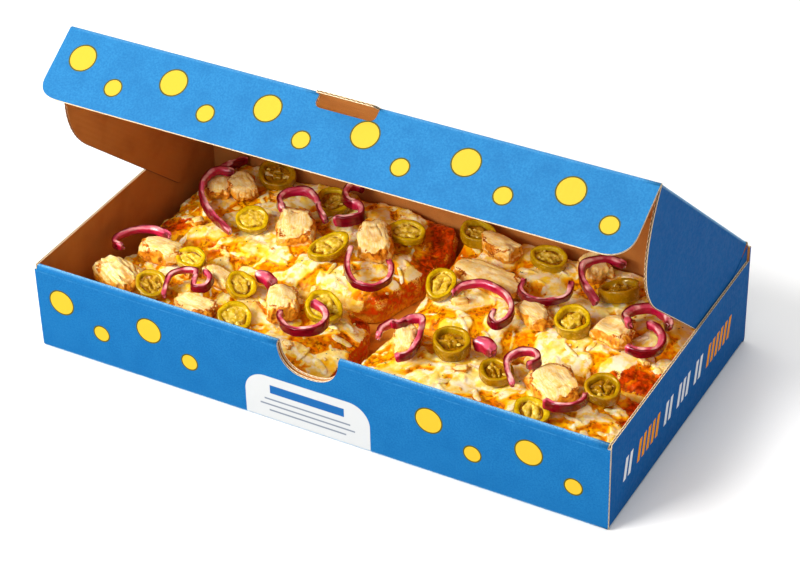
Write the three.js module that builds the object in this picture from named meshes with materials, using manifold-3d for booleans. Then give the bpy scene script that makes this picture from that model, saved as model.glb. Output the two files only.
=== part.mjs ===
// Four rectangular slices of topped pizza in an open folding board box, in millimetres, +Z up.
// The box's front is towards -Y. The origin is the middle of the box's footprint, at its base.
// The pieces are laid out in box coordinates (x from the left outer face, y from the front
// outer face), and one group moves them to the origin.
import * as THREE from "three";
import { mergeVertices } from "three/addons/utils/BufferGeometryUtils.js";
import Module from "manifold-3d";

const BOX_W = 382; // outer width, X
const BOX_D = 200; // outer depth, Y
const WALL_H = 60; // front and side walls
const BACK_H = 70.5; // back wall, up to the hinge crease
const BOARD = 1.5; // micro-flute board
const ROLL_T = 4.6; // rolled double front wall
const NOTCH_W = 41; // thumb notch in the front wall
const NOTCH_D = 20.5;

const HINGE_Y = 199.2; // lid crease line
const HINGE_Z = 71.6;
const LID_OPEN = 41.4; // degrees above level
const LID_L = 187; // crease to front fold
const LID_INSET = 2; // lid's flaps run inside the side walls
const SIDE_FLAP = 60.5; // depth of the lid's side flaps
const FRONT_FLAP = 47.5; // depth of the lid's front flap
const FLAP_OPEN = 16; // degrees past square
const TAB_W = 38; // lock tab cut out of the front flap
const TAB_OUT = 8;
const SLOT_DEEP = 9.5;

const GAP = 0.35; // clearance between separate pieces
const SLICE_BASE = BOARD + 0.3;
const FLAP_CLEAR = 22.5; // the slices' height where the shut lid's flap reaches
const SCRAPS = 5; // small toppings fused to each slice
const TAU = Math.PI * 2;
const rad = (deg) => (deg * Math.PI) / 180;

const wasm = await Module();
wasm.setup();

// ---- solids -------------------------------------------------------------------------------

// A closed three.js geometry as a solid.
function solid(geometry) {
  const bare = geometry.clone();
  for (const name of Object.keys(bare.attributes))
    if (name !== "position") bare.deleteAttribute(name);
  const merged = mergeVertices(bare, 1e-4);
  const from = merged.index.array;
  const tris = [];
  for (let i = 0; i < from.length; i += 3) {
    const [a, b, c] = [from[i], from[i + 1], from[i + 2]];
    if (a !== b && b !== c && c !== a) tris.push(a, b, c);
  }
  const made = new wasm.Manifold(
    new wasm.Mesh({
      numProp: 3,
      vertProperties: new Float32Array(merged.attributes.position.array),
      triVerts: new Uint32Array(tris),
    }),
  );
  if (made.volume() > 0) return made;
  for (let i = 0; i < tris.length; i += 3)
    [tris[i + 1], tris[i + 2]] = [tris[i + 2], tris[i + 1]];
  return new wasm.Manifold(
    new wasm.Mesh({
      numProp: 3,
      vertProperties: new Float32Array(merged.attributes.position.array),
      triVerts: new Uint32Array(tris),
    }),
  );
}

// The largest body of a solid: loose scraps of a cut are dropped.
function largest(made) {
  const bodies = made.decompose();
  return bodies.reduce((best, b) => (b.volume() > best.volume() ? b : best));
}

function geometryOf(made, centre) {
  const m = made.getMesh();
  const position = new Float32Array(m.numVert * 3);
  for (let i = 0; i < m.numVert; i++)
    for (let k = 0; k < 3; k++)
      position[i * 3 + k] =
        m.vertProperties[i * m.numProp + k] - (centre ? centre.getComponent(k) : 0);
  const g = new THREE.BufferGeometry();
  g.setAttribute("position", new THREE.BufferAttribute(position, 3));
  g.setIndex(new THREE.BufferAttribute(new Uint32Array(m.triVerts), 1));
  g.computeVertexNormals();
  return g;
}

function block(x0, x1, y0, y1, z0, z1) {
  const g = new THREE.BoxGeometry(x1 - x0, y1 - y0, z1 - z0);
  return g.translate((x0 + x1) / 2, (y0 + y1) / 2, (z0 + z1) / 2);
}

// An outline in (across, up) pushed along Y, or an outline in (y, z) pushed along X.
function plateY(shape, y0, thick, curveSegments = 6) {
  const g = new THREE.ExtrudeGeometry(shape, { depth: thick, bevelEnabled: false, curveSegments });
  return g.rotateX(Math.PI / 2).translate(0, y0 + thick, 0);
}
function plateX(shape, x0, thick, curveSegments = 6) {
  const g = new THREE.ExtrudeGeometry(shape, { depth: thick, bevelEnabled: false, curveSegments });
  const turn = new THREE.Matrix4().set(0, 0, 1, x0, 1, 0, 0, 0, 0, 1, 0, 0, 0, 0, 0, 1);
  return g.applyMatrix4(turn);
}

// Repeatable noise: a smooth sum of waves, and a small seeded draw.
function lumps(seed) {
  const p = [1.7, 2.9, 4.3, 5.1].map((k) => (seed * k * 7.13) % TAU);
  return (x, y) =>
    0.45 * Math.sin(x / 9.1 + p[0]) * Math.cos(y / 8.3 + p[1]) +
    0.35 * Math.sin((x + y) / 12.7 + p[2]) +
    0.3 * Math.cos((x - 1.4 * y) / 7.9 + p[3]);
}
function draw(seed) {
  let s = seed * 7919 + 17;
  return () => {
    s = (s * 16807) % 2147483647;
    return (s % 10000) / 10000;
  };
}

// ---- the box ------------------------------------------------------------------------------

function tray() {
  // the front wall is a strip folded over along its top edge
  const r = ROLL_T / 2;
  const section = new THREE.Shape();
  section.moveTo(0, 0);
  section.lineTo(ROLL_T, 0);
  section.lineTo(ROLL_T, WALL_H - r);
  section.absarc(r, WALL_H - r, r, 0, Math.PI, false);
  section.lineTo(0, 0);
  const notch = new THREE.Shape();
  const a = NOTCH_W / 2;
  notch.moveTo(BOX_W / 2 + a, WALL_H + 2);
  notch.lineTo(BOX_W / 2 - a, WALL_H + 2);
  const steps = 18;
  for (let i = 0; i <= steps; i++) {
    const t = Math.PI - (Math.PI * i) / steps;
    notch.lineTo(
      BOX_W / 2 + Math.sign(Math.cos(t)) * a * Math.abs(Math.cos(t)) ** 0.8,
      WALL_H + 0.7 - (NOTCH_D + 0.7) * Math.abs(Math.sin(t)) ** 0.85,
    );
  }
  notch.closePath();
  const front = solid(plateX(section, 0, BOX_W, 8)).subtract(solid(plateY(notch, -1, ROLL_T + 2)));
  // floor, sides and back in one U-shaped shell with an open front
  const inner = block(BOARD, BOX_W - BOARD, -1, BOX_D - BOARD, BOARD, WALL_H + 1);
  return solid(block(0, BOX_W, ROLL_T - 1, BOX_D, 0, WALL_H))
    .subtract(solid(inner))
    .add(solid(block(0, BOX_W, BOX_D - BOARD, BOX_D, 0, BACK_H)))
    .add(front);
}

// The lid lies level in its own group, hinge crease on the X axis, front towards -Y.
function lid() {
  const x0 = LID_INSET;
  const x1 = BOX_W - LID_INSET;
  const edge = LID_L - BOARD - 0.3;
  const mid = BOX_W / 2;
  const panel = new THREE.Shape();
  panel.moveTo(x0, 0);
  panel.lineTo(x0, -edge);
  panel.lineTo(mid - TAB_W / 2, -edge);
  panel.lineTo(mid - TAB_W / 2, -(LID_L + TAB_OUT - 3));
  panel.quadraticCurveTo(mid - TAB_W / 2, -(LID_L + TAB_OUT), mid - TAB_W / 2 + 4, -(LID_L + TAB_OUT));
  panel.lineTo(mid + TAB_W / 2 - 4, -(LID_L + TAB_OUT));
  panel.quadraticCurveTo(mid + TAB_W / 2, -(LID_L + TAB_OUT), mid + TAB_W / 2, -(LID_L + TAB_OUT - 3));
  panel.lineTo(mid + TAB_W / 2, -edge);
  panel.lineTo(x1, -edge);
  panel.lineTo(x1, 0);
  panel.closePath();
  const sheet = new THREE.ExtrudeGeometry(panel, { depth: BOARD, bevelEnabled: false, curveSegments: 4 });
  sheet.translate(0, 0, -BOARD / 2);
  const crease = new THREE.CylinderGeometry(BOARD / 2, BOARD / 2, x1 - x0, 10);
  crease.rotateZ(Math.PI / 2).translate(mid, 0, 0);
  // a side flap's outline: straight lower edge, front edge swept back in one long curve
  const side = new THREE.Shape();
  side.moveTo(-2.5, 0);
  side.lineTo(-6.5, -SIDE_FLAP + 3);
  side.quadraticCurveTo(-6.7, -SIDE_FLAP, -10, -SIDE_FLAP);
  side.lineTo(-132, -SIDE_FLAP);
  side.bezierCurveTo(-156, -SIDE_FLAP + 1, -172, -45, -(LID_L - 6.5), -20);
  side.quadraticCurveTo(-(LID_L - 3.5), -10, -(LID_L - 2), 0);
  side.closePath();
  return solid(sheet)
    .add(solid(crease))
    .add(solid(plateX(side, x0, BOARD, 8)))
    .add(solid(plateX(side, x1 - BOARD, BOARD, 8)));
}

// The front flap hangs straight down from the X axis, outer face at y = 0.
function frontFlap() {
  const x0 = LID_INSET;
  const x1 = BOX_W - LID_INSET;
  const mid = BOX_W / 2;
  const hole = TAB_W / 2 + 0.35;
  const s = new THREE.Shape();
  s.moveTo(x0, 0);
  s.lineTo(mid - hole, 0);
  s.lineTo(mid - hole, -(SLOT_DEEP - 4));
  s.quadraticCurveTo(mid - hole, -SLOT_DEEP, mid - hole + 4.5, -SLOT_DEEP);
  s.lineTo(mid + hole - 4.5, -SLOT_DEEP);
  s.quadraticCurveTo(mid + hole, -SLOT_DEEP, mid + hole, -(SLOT_DEEP - 4));
  s.lineTo(mid + hole, 0);
  s.lineTo(x1, 0);
  s.lineTo(x1 - 1.2, -FRONT_FLAP + 22);
  s.bezierCurveTo(x1 - 2, -FRONT_FLAP + 9, x1 - 12, -FRONT_FLAP, x1 - 28, -FRONT_FLAP);
  s.lineTo(x0 + 28, -FRONT_FLAP);
  s.bezierCurveTo(x0 + 12, -FRONT_FLAP, x0 + 2, -FRONT_FLAP + 9, x0 + 1.2, -FRONT_FLAP + 22);
  s.closePath();
  return solid(plateY(s, 0, BOARD, 7));
}

// ---- the slices ---------------------------------------------------------------------------

// A slice from its four corners (front left, front right, back right, back left): a block
// with a swollen side, rounded corners and a mound of lumpy cheese that thins at the rim.
// Scraps too small to be pieces of their own, of cheese and chicken, are fused to its top.
function slice({ corners, seed, top = 29, rim = 21, bow = [0, 0, 0, 0] }) {
  const [fl, fr, br, bl] = corners;
  const n = lumps(seed);
  const onTop = (a, b) => {
    const r = Math.max(Math.abs(a), Math.abs(b));
    const [u, v] = [(a * (1 - 0.045 * b ** 8) + 1) / 2, (b * (1 - 0.075 * a ** 10) + 1) / 2];
    let x = (1 - v) * ((1 - u) * fl[0] + u * fr[0]) + v * ((1 - u) * bl[0] + u * br[0]);
    let y = (1 - v) * ((1 - u) * fl[1] + u * fr[1]) + v * ((1 - u) * bl[1] + u * br[1]);
    // each edge bows out by its own amount and wavers a little
    y -= (1 - v) * bow[0] * (1 - a * a) - v * bow[2] * (1 - a * a);
    x += u * bow[1] * (1 - b * b) - (1 - u) * bow[3] * (1 - b * b);
    const w = r ** 6;
    x += w * 1.2 * n(y * 1.7, x * 0.3);
    y += w * 1.0 * n(x * 1.5, y * 0.4 + 30);
    const m = 1 - r ** 5;
    const z = rim + (top - rim) * m + (0.7 + 1.9 * m) * n(x, y);
    // low along the box's front, where the lid's front flap tucks in
    return [x, y, Math.min(z, FLAP_CLEAR + 9 * THREE.MathUtils.smoothstep(y, 19, 31))];
  };
  const g = new THREE.BoxGeometry(2, 2, 2, 16, 9, 2);
  const p = g.attributes.position;
  for (let i = 0; i < p.count; i++) {
    const [a, b, c] = [p.getX(i), p.getY(i), p.getZ(i)];
    const [x, y, z] = onTop(a, b);
    if (c > 0.9) p.setXYZ(i, x, y, z);
    else {
      const swell = c < -0.9 ? 0 : 1.1;
      p.setXYZ(i, x + swell * a ** 5, y + swell * b ** 5, c < -0.9 ? -1.5 : 10.5);
    }
  }
  let made = solid(g);
  const next = draw(seed * 10);
  for (let k = 0; k < SCRAPS; k++) {
    const scrap = new THREE.IcosahedronGeometry(1, 0);
    scrap.scale(3 + 2.5 * next(), 2.2 + 1.2 * next(), 1.8 + next());
    scrap.rotateZ(next() * TAU);
    const at = onTop(((k + 0.2 + 0.6 * next()) / SCRAPS) * 1.6 - 0.8, (k % 2 ? 0.45 : -0.4) + 0.5 * (next() - 0.5));
    made = made.add(solid(scrap.translate(at[0], at[1], at[2] + 0.6)));
  }
  const floor = block(-5, BOX_W + 5, -5, BOX_D + 5, -10, SLICE_BASE);
  return made.subtract(solid(floor));
}

// ---- the toppings -------------------------------------------------------------------------

function pose(g, { at, lean = 0, toward = 0, yaw = 0 }) {
  g.rotateZ(rad(yaw));
  const axis = new THREE.Vector3(-Math.sin(rad(toward)), Math.cos(rad(toward)), 0);
  g.applyMatrix4(new THREE.Matrix4().makeRotationAxis(axis, rad(lean)));
  return g.translate(at[0], at[1], at[2]);
}

// A cross-cut ring of pepper: a wall round a recessed web of seeds. r is the long radius,
// oval the ratio of the short one, h the cut's thickness. It leans towards a compass angle
// (0 is +X) by lean degrees. The grown puck is what its neighbours are cut with.
function pepper(o) {
  const { r, h = 5, oval = 0.9, seed = 1 } = o;
  const wall = 2.7;
  const make = (grow) => {
    const R = r + grow;
    const H = h / 2 + grow;
    const web = h * 0.26;
    const profile = grow
      ? [[0, -H], [R, -H], [R, H], [0, H]]
      : [[0, -web], [R - wall, -web], [R - wall + 0.2, -H], [R, -H * 0.8],
         [R, H * 0.8], [R - wall + 0.2, H], [R - wall, web], [0, web]];
    const g = new THREE.LatheGeometry(profile.map(([x, y]) => new THREE.Vector2(x, y)), 12);
    g.rotateX(Math.PI / 2);
    const p = g.attributes.position;
    for (let i = 0; i < p.count; i++) {
      const t = Math.atan2(p.getY(i), p.getX(i));
      const k = 1 + 0.035 * Math.sin(3 * t + seed) + 0.025 * Math.sin(2 * t + seed * 2);
      p.setXYZ(i, p.getX(i) * k, p.getY(i) * k * oval, p.getZ(i) + 0.03 * r * Math.sin(2 * t + seed));
    }
    return solid(pose(g, o));
  };
  return { body: make(0), grown: make(GAP) };
}

// A curled strip of onion: a lens-shaped section pushed along a smooth curve. thick is
// measured across the strip and tall up the strip.
function onion({ path, thick = 2.6, tall = 4.2, steps = 12 }) {
  const curve = new THREE.CatmullRomCurve3(path.map((p) => new THREE.Vector3(...p)), false, "centripetal");
  const make = (grow) => {
    let c = curve;
    if (grow) {
      const [a, b] = [curve.getPointAt(0), curve.getPointAt(1)];
      const [ta, tb] = [curve.getTangentAt(0), curve.getTangentAt(1)];
      c = new THREE.CatmullRomCurve3(
        [a.addScaledVector(ta, -grow), ...path.slice(1, -1).map((p) => new THREE.Vector3(...p)),
         b.addScaledVector(tb, grow)], false, "centripetal");
    }
    const s = new THREE.Shape();
    const [w, t] = [tall / 2 + grow, thick / 2 + grow];
    s.moveTo(w, 0);
    s.lineTo(w * 0.45, t);
    s.lineTo(-w * 0.55, t * 0.9);
    s.lineTo(-w, 0);
    s.lineTo(-w * 0.55, -t * 0.9);
    s.lineTo(w * 0.45, -t);
    s.closePath();
    return solid(new THREE.ExtrudeGeometry(s, { extrudePath: c, steps, bevelEnabled: false }));
  };
  return { body: make(0), grown: make(GAP) };
}

// A torn or cut piece of cooked chicken: a rounded block, long along the fibres.
function chicken(o) {
  const { size, seed = 1, square = 0.62 } = o;
  const n = lumps(seed + 3);
  const make = (grow) => {
    const g = new THREE.SphereGeometry(1, 10, 6);
    const p = g.attributes.position;
    const q = (v) => Math.sign(v) * Math.abs(v) ** square;
    for (let i = 0; i < p.count; i++) {
      const [a, b, c] = [q(p.getX(i)), q(p.getY(i)), q(p.getZ(i))];
      const k = 1 + 0.13 * n(a * 17, b * 15 + c * 11);
      p.setXYZ(
        i,
        a * (size[0] / 2 + grow) * k * (1 - 0.12 * b * (seed % 2 ? 1 : -1)),
        b * (size[1] / 2 + grow) * k,
        c * (size[2] / 2 + grow) * (1 + 0.1 * n(a * 12 + 5, b * 9)),
      );
    }
    return solid(pose(g, o));
  };
  return { body: make(0), grown: make(GAP) };
}

// Back-left, front-left, back-right and front-right slice.
const SLICES = {
  slice_back_left: { corners: [[11, 106], [176, 108], [191, 193], [11, 195]], bow: [8, 3, 1, 1], seed: 1.3 },
  slice_front_left: { corners: [[9, 8], [187, 8], [184, 92], [12, 94]], bow: [0, 2, 2, 1], seed: 2.1 },
  slice_back_right: { corners: [[202, 98.5], [373, 98], [372, 194], [198, 193]], bow: [1, 0.5, 1, 1], seed: 3.7 },
  slice_front_right: { corners: [[196, 8], [373, 8], [373, 92], [203, 91.5]], bow: [0, 0.5, 1, 1], seed: 4.4 },
};

// Where each topping lies. A later piece lies on the earlier ones. lean tips a piece's
// upper face towards the compass angle given by toward (-60 is towards the front right).
const VIEW = -62;
const CHICKEN = {
  chicken_01: { at: [28, 162, 31], size: [26, 17, 9], yaw: 120, seed: 3 },
  chicken_02: { at: [44, 166, 33], size: [27, 17, 10], yaw: -38, seed: 4 },
  chicken_03: { at: [100, 140, 34], size: [31, 23, 13], yaw: -62, lean: 12, toward: VIEW, seed: 5 },
  chicken_04: { at: [152, 148, 35], size: [32, 21, 13], yaw: -55, lean: 14, toward: VIEW, seed: 6 },
  chicken_05: { at: [29, 44, 33], size: [38, 22, 17], yaw: -28, seed: 7 },
  chicken_06: { at: [38, 79, 34], size: [29, 18, 12], yaw: -4, seed: 8 },
  chicken_07: { at: [86, 72, 33], size: [26, 13, 9], yaw: -22, seed: 9 },
  chicken_08: { at: [88, 40, 32], size: [28, 15, 11], yaw: -6, seed: 10 },
  chicken_09: { at: [135, 65, 35], size: [28, 20, 14], yaw: -62, seed: 11 },
  chicken_10: { at: [226, 178, 34], size: [30, 15, 12], yaw: -12, seed: 12 },
  chicken_11: { at: [232, 149, 31], size: [52, 23, 8], yaw: -12, seed: 13 },
  chicken_12: { at: [274, 126, 32], size: [27, 16, 9], yaw: -32, seed: 14 },
  chicken_13: { at: [325, 131, 33], size: [25, 22, 12], yaw: -10, seed: 15 },
  chicken_14: { at: [287, 184, 34], size: [24, 17, 14], yaw: -32, seed: 16 },
  chicken_15: { at: [317, 66, 34], size: [37, 29, 12], yaw: -40, seed: 17 },
  chicken_16: { at: [220, 65, 35], size: [26, 14, 11], yaw: 118, seed: 18 },
};
const PEPPER = {
  jalapeno_01: { at: [59, 185, 35.5], r: 12.5, h: 6, lean: 18, toward: VIEW, seed: 1 },
  jalapeno_02: { at: [107, 175, 34.5], r: 12, h: 5, lean: 12, toward: VIEW, seed: 2 },
  jalapeno_03: { at: [72, 133, 35], r: 10.8, h: 5, lean: 24, toward: VIEW, seed: 3 },
  jalapeno_04: { at: [60, 79, 34.5], r: 9.6, h: 5, lean: 16, toward: VIEW, seed: 4 },
  jalapeno_05: { at: [54, 43, 36], r: 10.2, h: 5, lean: 26, toward: VIEW, seed: 5 },
  jalapeno_06: { at: [103, 68, 35], r: 9.8, h: 5.5, lean: 38, toward: -25, seed: 6 },
  jalapeno_07: { at: [130, 129, 34.5], r: 14.2, h: 5.5, oval: 0.62, yaw: 64, lean: 12, toward: VIEW, seed: 7 },
  jalapeno_08: { at: [160, 71, 35], r: 12, h: 5.5, lean: 24, toward: -40, seed: 8 },
  jalapeno_09: { at: [116, 40, 33.5], r: 10.8, h: 5, lean: 28, toward: -40, seed: 9 },
  jalapeno_10: { at: [166, 166, 34], r: 12, h: 5, oval: 0.86, lean: 6, toward: VIEW, seed: 10 },
  jalapeno_11: { at: [211, 126, 34], r: 11.4, h: 5, oval: 0.8, yaw: 100, lean: 22, toward: VIEW, seed: 11 },
  jalapeno_12: { at: [246, 73, 35.5], r: 11.6, h: 9.5, lean: 14, toward: VIEW, seed: 12 },
  jalapeno_13: { at: [281, 62, 34], r: 10.2, h: 6, lean: 10, toward: VIEW, seed: 13 },
  jalapeno_14: { at: [207, 184, 34.5], r: 12, h: 8, oval: 0.8, lean: 8, toward: VIEW, seed: 14 },
  jalapeno_15: { at: [301, 125, 35.5], r: 11.4, h: 10, lean: 18, toward: -85, seed: 15 },
  jalapeno_16: { at: [344, 74, 35], r: 10.4, h: 9, lean: 22, toward: -75, seed: 16 },
  jalapeno_17: { at: [258, 181, 33.5], r: 12, h: 6, oval: 0.82, lean: 8, toward: VIEW, seed: 17 },
  jalapeno_18: { at: [312, 168, 34.5], r: 13, h: 8, oval: 0.84, yaw: 30, lean: 16, toward: 150, seed: 18 },
  jalapeno_19: { at: [316, 37, 34.5], r: 10.5, h: 5, lean: 24, toward: -50, seed: 19 },
};
const ONION = {
  onion_01: { path: [[30, 194, 34], [28, 186, 35.5], [24, 178, 35.5], [20, 169, 33]], thick: 3, tall: 4.6, steps: 7 },
  onion_02: { path: [[34, 172, 37], [25, 168, 39], [22, 157, 38], [26, 145, 36], [37, 133, 35], [51, 123, 35], [66, 116, 34]], tall: 4.8, steps: 14 },
  onion_03: { path: [[88, 144, 41], [81, 152, 42], [82, 162, 42], [91, 168, 42], [101, 164, 41], [109, 155, 40], [117, 149, 38]], tall: 5, steps: 13 },
  onion_04: { path: [[120, 193, 38], [113, 189, 40], [114, 178, 41], [121, 170, 42], [131, 168, 42], [136, 160, 41], [129, 153, 40], [121, 152, 38]], thick: 3, tall: 6, steps: 14 },
  onion_05: { path: [[146, 130, 39], [149, 119, 37], [156, 108, 36], [166, 101, 35.5], [177, 102, 36], [182, 111, 37], [179, 122, 38], [173, 129, 37]], tall: 4.6, steps: 14 },
  onion_06: { path: [[21, 62, 42], [13, 65, 40.5], [10, 74, 39], [15, 85, 38.5], [26, 90, 39], [39, 88, 39]], tall: 5, steps: 12 },
  onion_07: { path: [[68, 36, 36], [63, 46, 37], [61, 55, 38], [66, 63, 38], [73, 65, 38], [76, 58, 37], [80, 51, 37], [87, 53, 38], [86, 61, 39.5], [79, 64.5, 41]], thick: 2.3, tall: 4, steps: 17 },
  onion_08: { path: [[106, 83, 34], [113, 82, 35], [121, 78, 34]], thick: 4.4, tall: 7, steps: 4 },
  onion_09: { path: [[143, 50, 40], [146, 43, 40], [155, 37, 40], [165, 37, 41], [172, 44, 41], [172, 54, 41], [166, 61, 41.5], [156, 64, 42]], tall: 4.6, steps: 14 },
  onion_10: { path: [[224, 117, 36], [226, 124, 38], [235, 131, 39], [246, 131, 39], [256, 127, 38], [263, 119, 37], [265, 109, 36], [261, 101, 36], [256, 104, 37], [255, 112, 38]], thick: 2.4, tall: 4.4, steps: 16 },
  onion_11: { path: [[257, 148, 38], [259, 138, 37], [267, 134, 36], [279, 137, 36], [287, 144, 37.5], [285, 157, 39]], tall: 4.6, steps: 11 },
  onion_12: { path: [[306, 190, 38], [295, 188, 40], [287, 178, 42], [285, 172, 42], [289, 163, 39], [297, 156, 37], [305, 150, 35]], thick: 2.8, tall: 5.2, steps: 12 },
  onion_13: { path: [[335, 131, 41], [328, 139, 39], [330, 150, 38], [339, 156, 38], [349, 152, 38], [355, 144, 37]], thick: 3.2, tall: 6, steps: 10 },
  onion_14: { path: [[342, 142, 37], [350, 138, 38], [357, 129, 38], [357, 119, 37], [349, 114, 37], [340, 114, 37]], thick: 3.2, tall: 5.6, steps: 9 },
  onion_15: { path: [[205, 58, 36], [203, 65, 37], [207, 71, 38.5], [213, 69, 41], [217, 77, 41.5], [222, 80, 41], [227, 71, 41], [231, 58, 40], [230, 49, 38], [224, 44, 37]], tall: 4.8, steps: 16 },
  onion_16: { path: [[257, 83, 33], [264, 82, 34], [271, 79, 33]], thick: 5, tall: 8, steps: 4 },
  onion_17: { path: [[297, 52, 36.5], [291, 58, 39.5], [287, 65, 42], [290, 76, 42.5], [298, 79, 42.5], [303, 73, 42.5], [299, 66, 42]], thick: 2.4, tall: 5, steps: 13 },
  onion_18: { path: [[321, 43, 39], [329, 41, 40.5], [337, 44, 41], [341, 53, 40], [340, 60, 39]], tall: 5.4, steps: 9 },
};

const toppings = [];
for (const [name, o] of Object.entries(CHICKEN)) toppings.push({ name, kind: "chicken", ...chicken(o) });
for (const [name, o] of Object.entries(PEPPER)) toppings.push({ name, kind: "pepper", ...pepper(o) });
for (const [name, o] of Object.entries(ONION)) toppings.push({ name, kind: "onion", ...onion(o) });

function near(a, b) {
  const [p, q] = [a.boundingBox(), b.boundingBox()];
  return [0, 1, 2].every((k) => p.min[k] < q.max[k] && q.min[k] < p.max[k]);
}

// each piece is notched where a later one rests on it
for (let i = 0; i < toppings.length; i++)
  for (let j = i + 1; j < toppings.length; j++)
    if (near(toppings[i].body, toppings[j].grown))
      toppings[i].body = largest(toppings[i].body.subtract(toppings[j].grown));

// ---- assembly -----------------------------------------------------------------------------

const finish = {
  board: { color: 0x2a7cc4, roughness: 0.55 },
  crust: { color: 0xe8b860, roughness: 0.6 },
  chicken: { color: 0xf0d9a0, roughness: 0.6 },
  pepper: { color: 0xaaa228, roughness: 0.35 },
  onion: { color: 0xb02a68, roughness: 0.3 },
};
const materials = Object.fromEntries(
  Object.entries(finish).map(([k, f]) => [k, new THREE.MeshStandardMaterial({ ...f, metalness: 0 })]),
);

const content = new THREE.Group();
content.position.set(-BOX_W / 2, -BOX_D / 2, 0);

function place(made, name, kind, parent = content) {
  const b = made.boundingBox();
  const centre = new THREE.Vector3(
    ...[0, 1, 2].map((k) => Math.round((b.min[k] + b.max[k]) / 2)),
  );
  const mesh = new THREE.Mesh(geometryOf(made, centre), materials[kind]);
  mesh.name = name;
  mesh.position.copy(centre);
  parent.add(mesh);
}

place(tray(), "tray", "board");
const lidGroup = new THREE.Group();
lidGroup.position.set(0, HINGE_Y, HINGE_Z);
lidGroup.rotation.x = -rad(LID_OPEN);
content.add(lidGroup);
place(lid(), "lid", "board", lidGroup);
const flapGroup = new THREE.Group();
flapGroup.position.set(0, -LID_L, BOARD / 2);
flapGroup.rotation.x = -rad(FLAP_OPEN);
lidGroup.add(flapGroup);
place(frontFlap(), "lid_front_flap", "board", flapGroup);

for (const [name, o] of Object.entries(SLICES)) {
  let made = slice(o);
  for (const t of toppings) if (near(made, t.grown)) made = made.subtract(t.grown);
  place(largest(made), name, "crust");
}
for (const t of toppings) place(t.body, t.name, t.kind);

const pizzaInBox = new THREE.Group();
pizzaInBox.add(content);

export default pizzaInBox;
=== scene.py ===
"""Looks of the boxed pizza slices: folded printed board, four topped slices and their toppings.

Lengths in this file are millimetres in box coordinates (x from the box's left outer face, y from
its front outer face, z up); Build.piece() moves them to the row frame, in metres.
"""

import math

import bmesh
import bpy
import numpy as np
from mathutils import Matrix, Vector
from mathutils.geometry import tessellate_polygon
from mathutils.kdtree import KDTree


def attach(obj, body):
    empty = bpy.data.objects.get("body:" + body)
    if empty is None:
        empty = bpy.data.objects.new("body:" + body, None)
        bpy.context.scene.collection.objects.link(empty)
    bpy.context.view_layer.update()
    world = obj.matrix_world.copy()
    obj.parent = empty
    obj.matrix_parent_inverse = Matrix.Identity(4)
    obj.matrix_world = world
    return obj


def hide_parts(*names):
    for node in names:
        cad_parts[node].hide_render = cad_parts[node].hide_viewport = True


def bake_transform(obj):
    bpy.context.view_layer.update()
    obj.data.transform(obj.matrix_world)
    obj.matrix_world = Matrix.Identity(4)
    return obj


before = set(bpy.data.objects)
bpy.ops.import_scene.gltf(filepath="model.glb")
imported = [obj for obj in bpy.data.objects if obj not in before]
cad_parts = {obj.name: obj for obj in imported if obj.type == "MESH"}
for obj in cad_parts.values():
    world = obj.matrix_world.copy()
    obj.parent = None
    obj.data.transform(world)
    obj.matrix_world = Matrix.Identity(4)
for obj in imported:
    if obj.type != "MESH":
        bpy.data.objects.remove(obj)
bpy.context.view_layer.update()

MM = 0.001
TAU = 2 * math.pi
BOX_W, BOX_D = 382.0, 200.0
BOARD = 1.5
HALF = BOARD / 2
FLUTE = 3.3  # pitch of the board's flutes
PLY = 1.55  # middle radius of the rolled top of the front wall
BEND = 1.15  # middle radius of a fold
INNER_H = 55.7  # straight height of the front wall's inner ply
ORIGIN = np.array([BOX_W / 2, BOX_D / 2, 0.0])
TRAY, LID, FLAP = "tray_with_pizza", "lid", "front_flap"
rad = math.radians


def row(p):
    """A point in box millimetres as a point of the row frame in metres."""
    return Vector(((np.asarray(p, float) - ORIGIN) * MM).tolist())


def smooth(lo, hi, x):
    t = np.clip((x - lo) / (hi - lo), 0, 1)
    return t * t * (3 - 2 * t)


def unit(v):
    """Rows of v scaled to length 1."""
    return v / np.linalg.norm(v, axis=1)[:, None]


def run_along(points, power=1.0):
    """How far along a line of points each one is, every step raised to power."""
    steps = np.linalg.norm(np.diff(points, axis=0), axis=1) ** power
    return np.concatenate([[0], np.cumsum(steps)])


# ---- repeatable noise ---------------------------------------------------------------------


def lattice(ix, iy, iz, seed):
    n = (ix * 374761393 + iy * 668265263 + iz * 1103515245 + seed * 974711) & 0xFFFFFFFF
    n = ((n ^ (n >> 13)) * 1274126177) & 0xFFFFFFFF
    n = ((n ^ (n >> 16)) * 668265263) & 0xFFFFFFFF
    return ((n >> 8) & 0xFFFF) / 65535.0


def noise(x, y, z=0.0, seed=0):
    """Smooth noise between -1 and 1."""
    x, y, z = np.broadcast_arrays(np.asarray(x, float), y, z)
    ix, iy, iz = (np.floor(c).astype(np.int64) for c in (x, y, z))
    fx, fy, fz = (c - np.floor(c) for c in (x, y, z))
    fx, fy, fz = (c * c * (3 - 2 * c) for c in (fx, fy, fz))
    total = 0
    for dx in (0, 1):
        for dy in (0, 1):
            for dz in (0, 1):
                weight = (fx if dx else 1 - fx) * (fy if dy else 1 - fy) * (fz if dz else 1 - fz)
                total = total + weight * lattice(ix + dx, iy + dy, iz + dz, seed)
    return total * 2 - 1


def fbm(x, y, z, seed, octaves=3):
    """Noise at several scales, each half as strong as the one before, divided by 1 + 1/2 + 1/4."""
    total = sum(0.5**k * noise(x * 2**k, y * 2**k, z * 2**k, seed + 31 * k) for k in range(octaves))
    return total / 1.75


# ---- mesh building ------------------------------------------------------------------------


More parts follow.
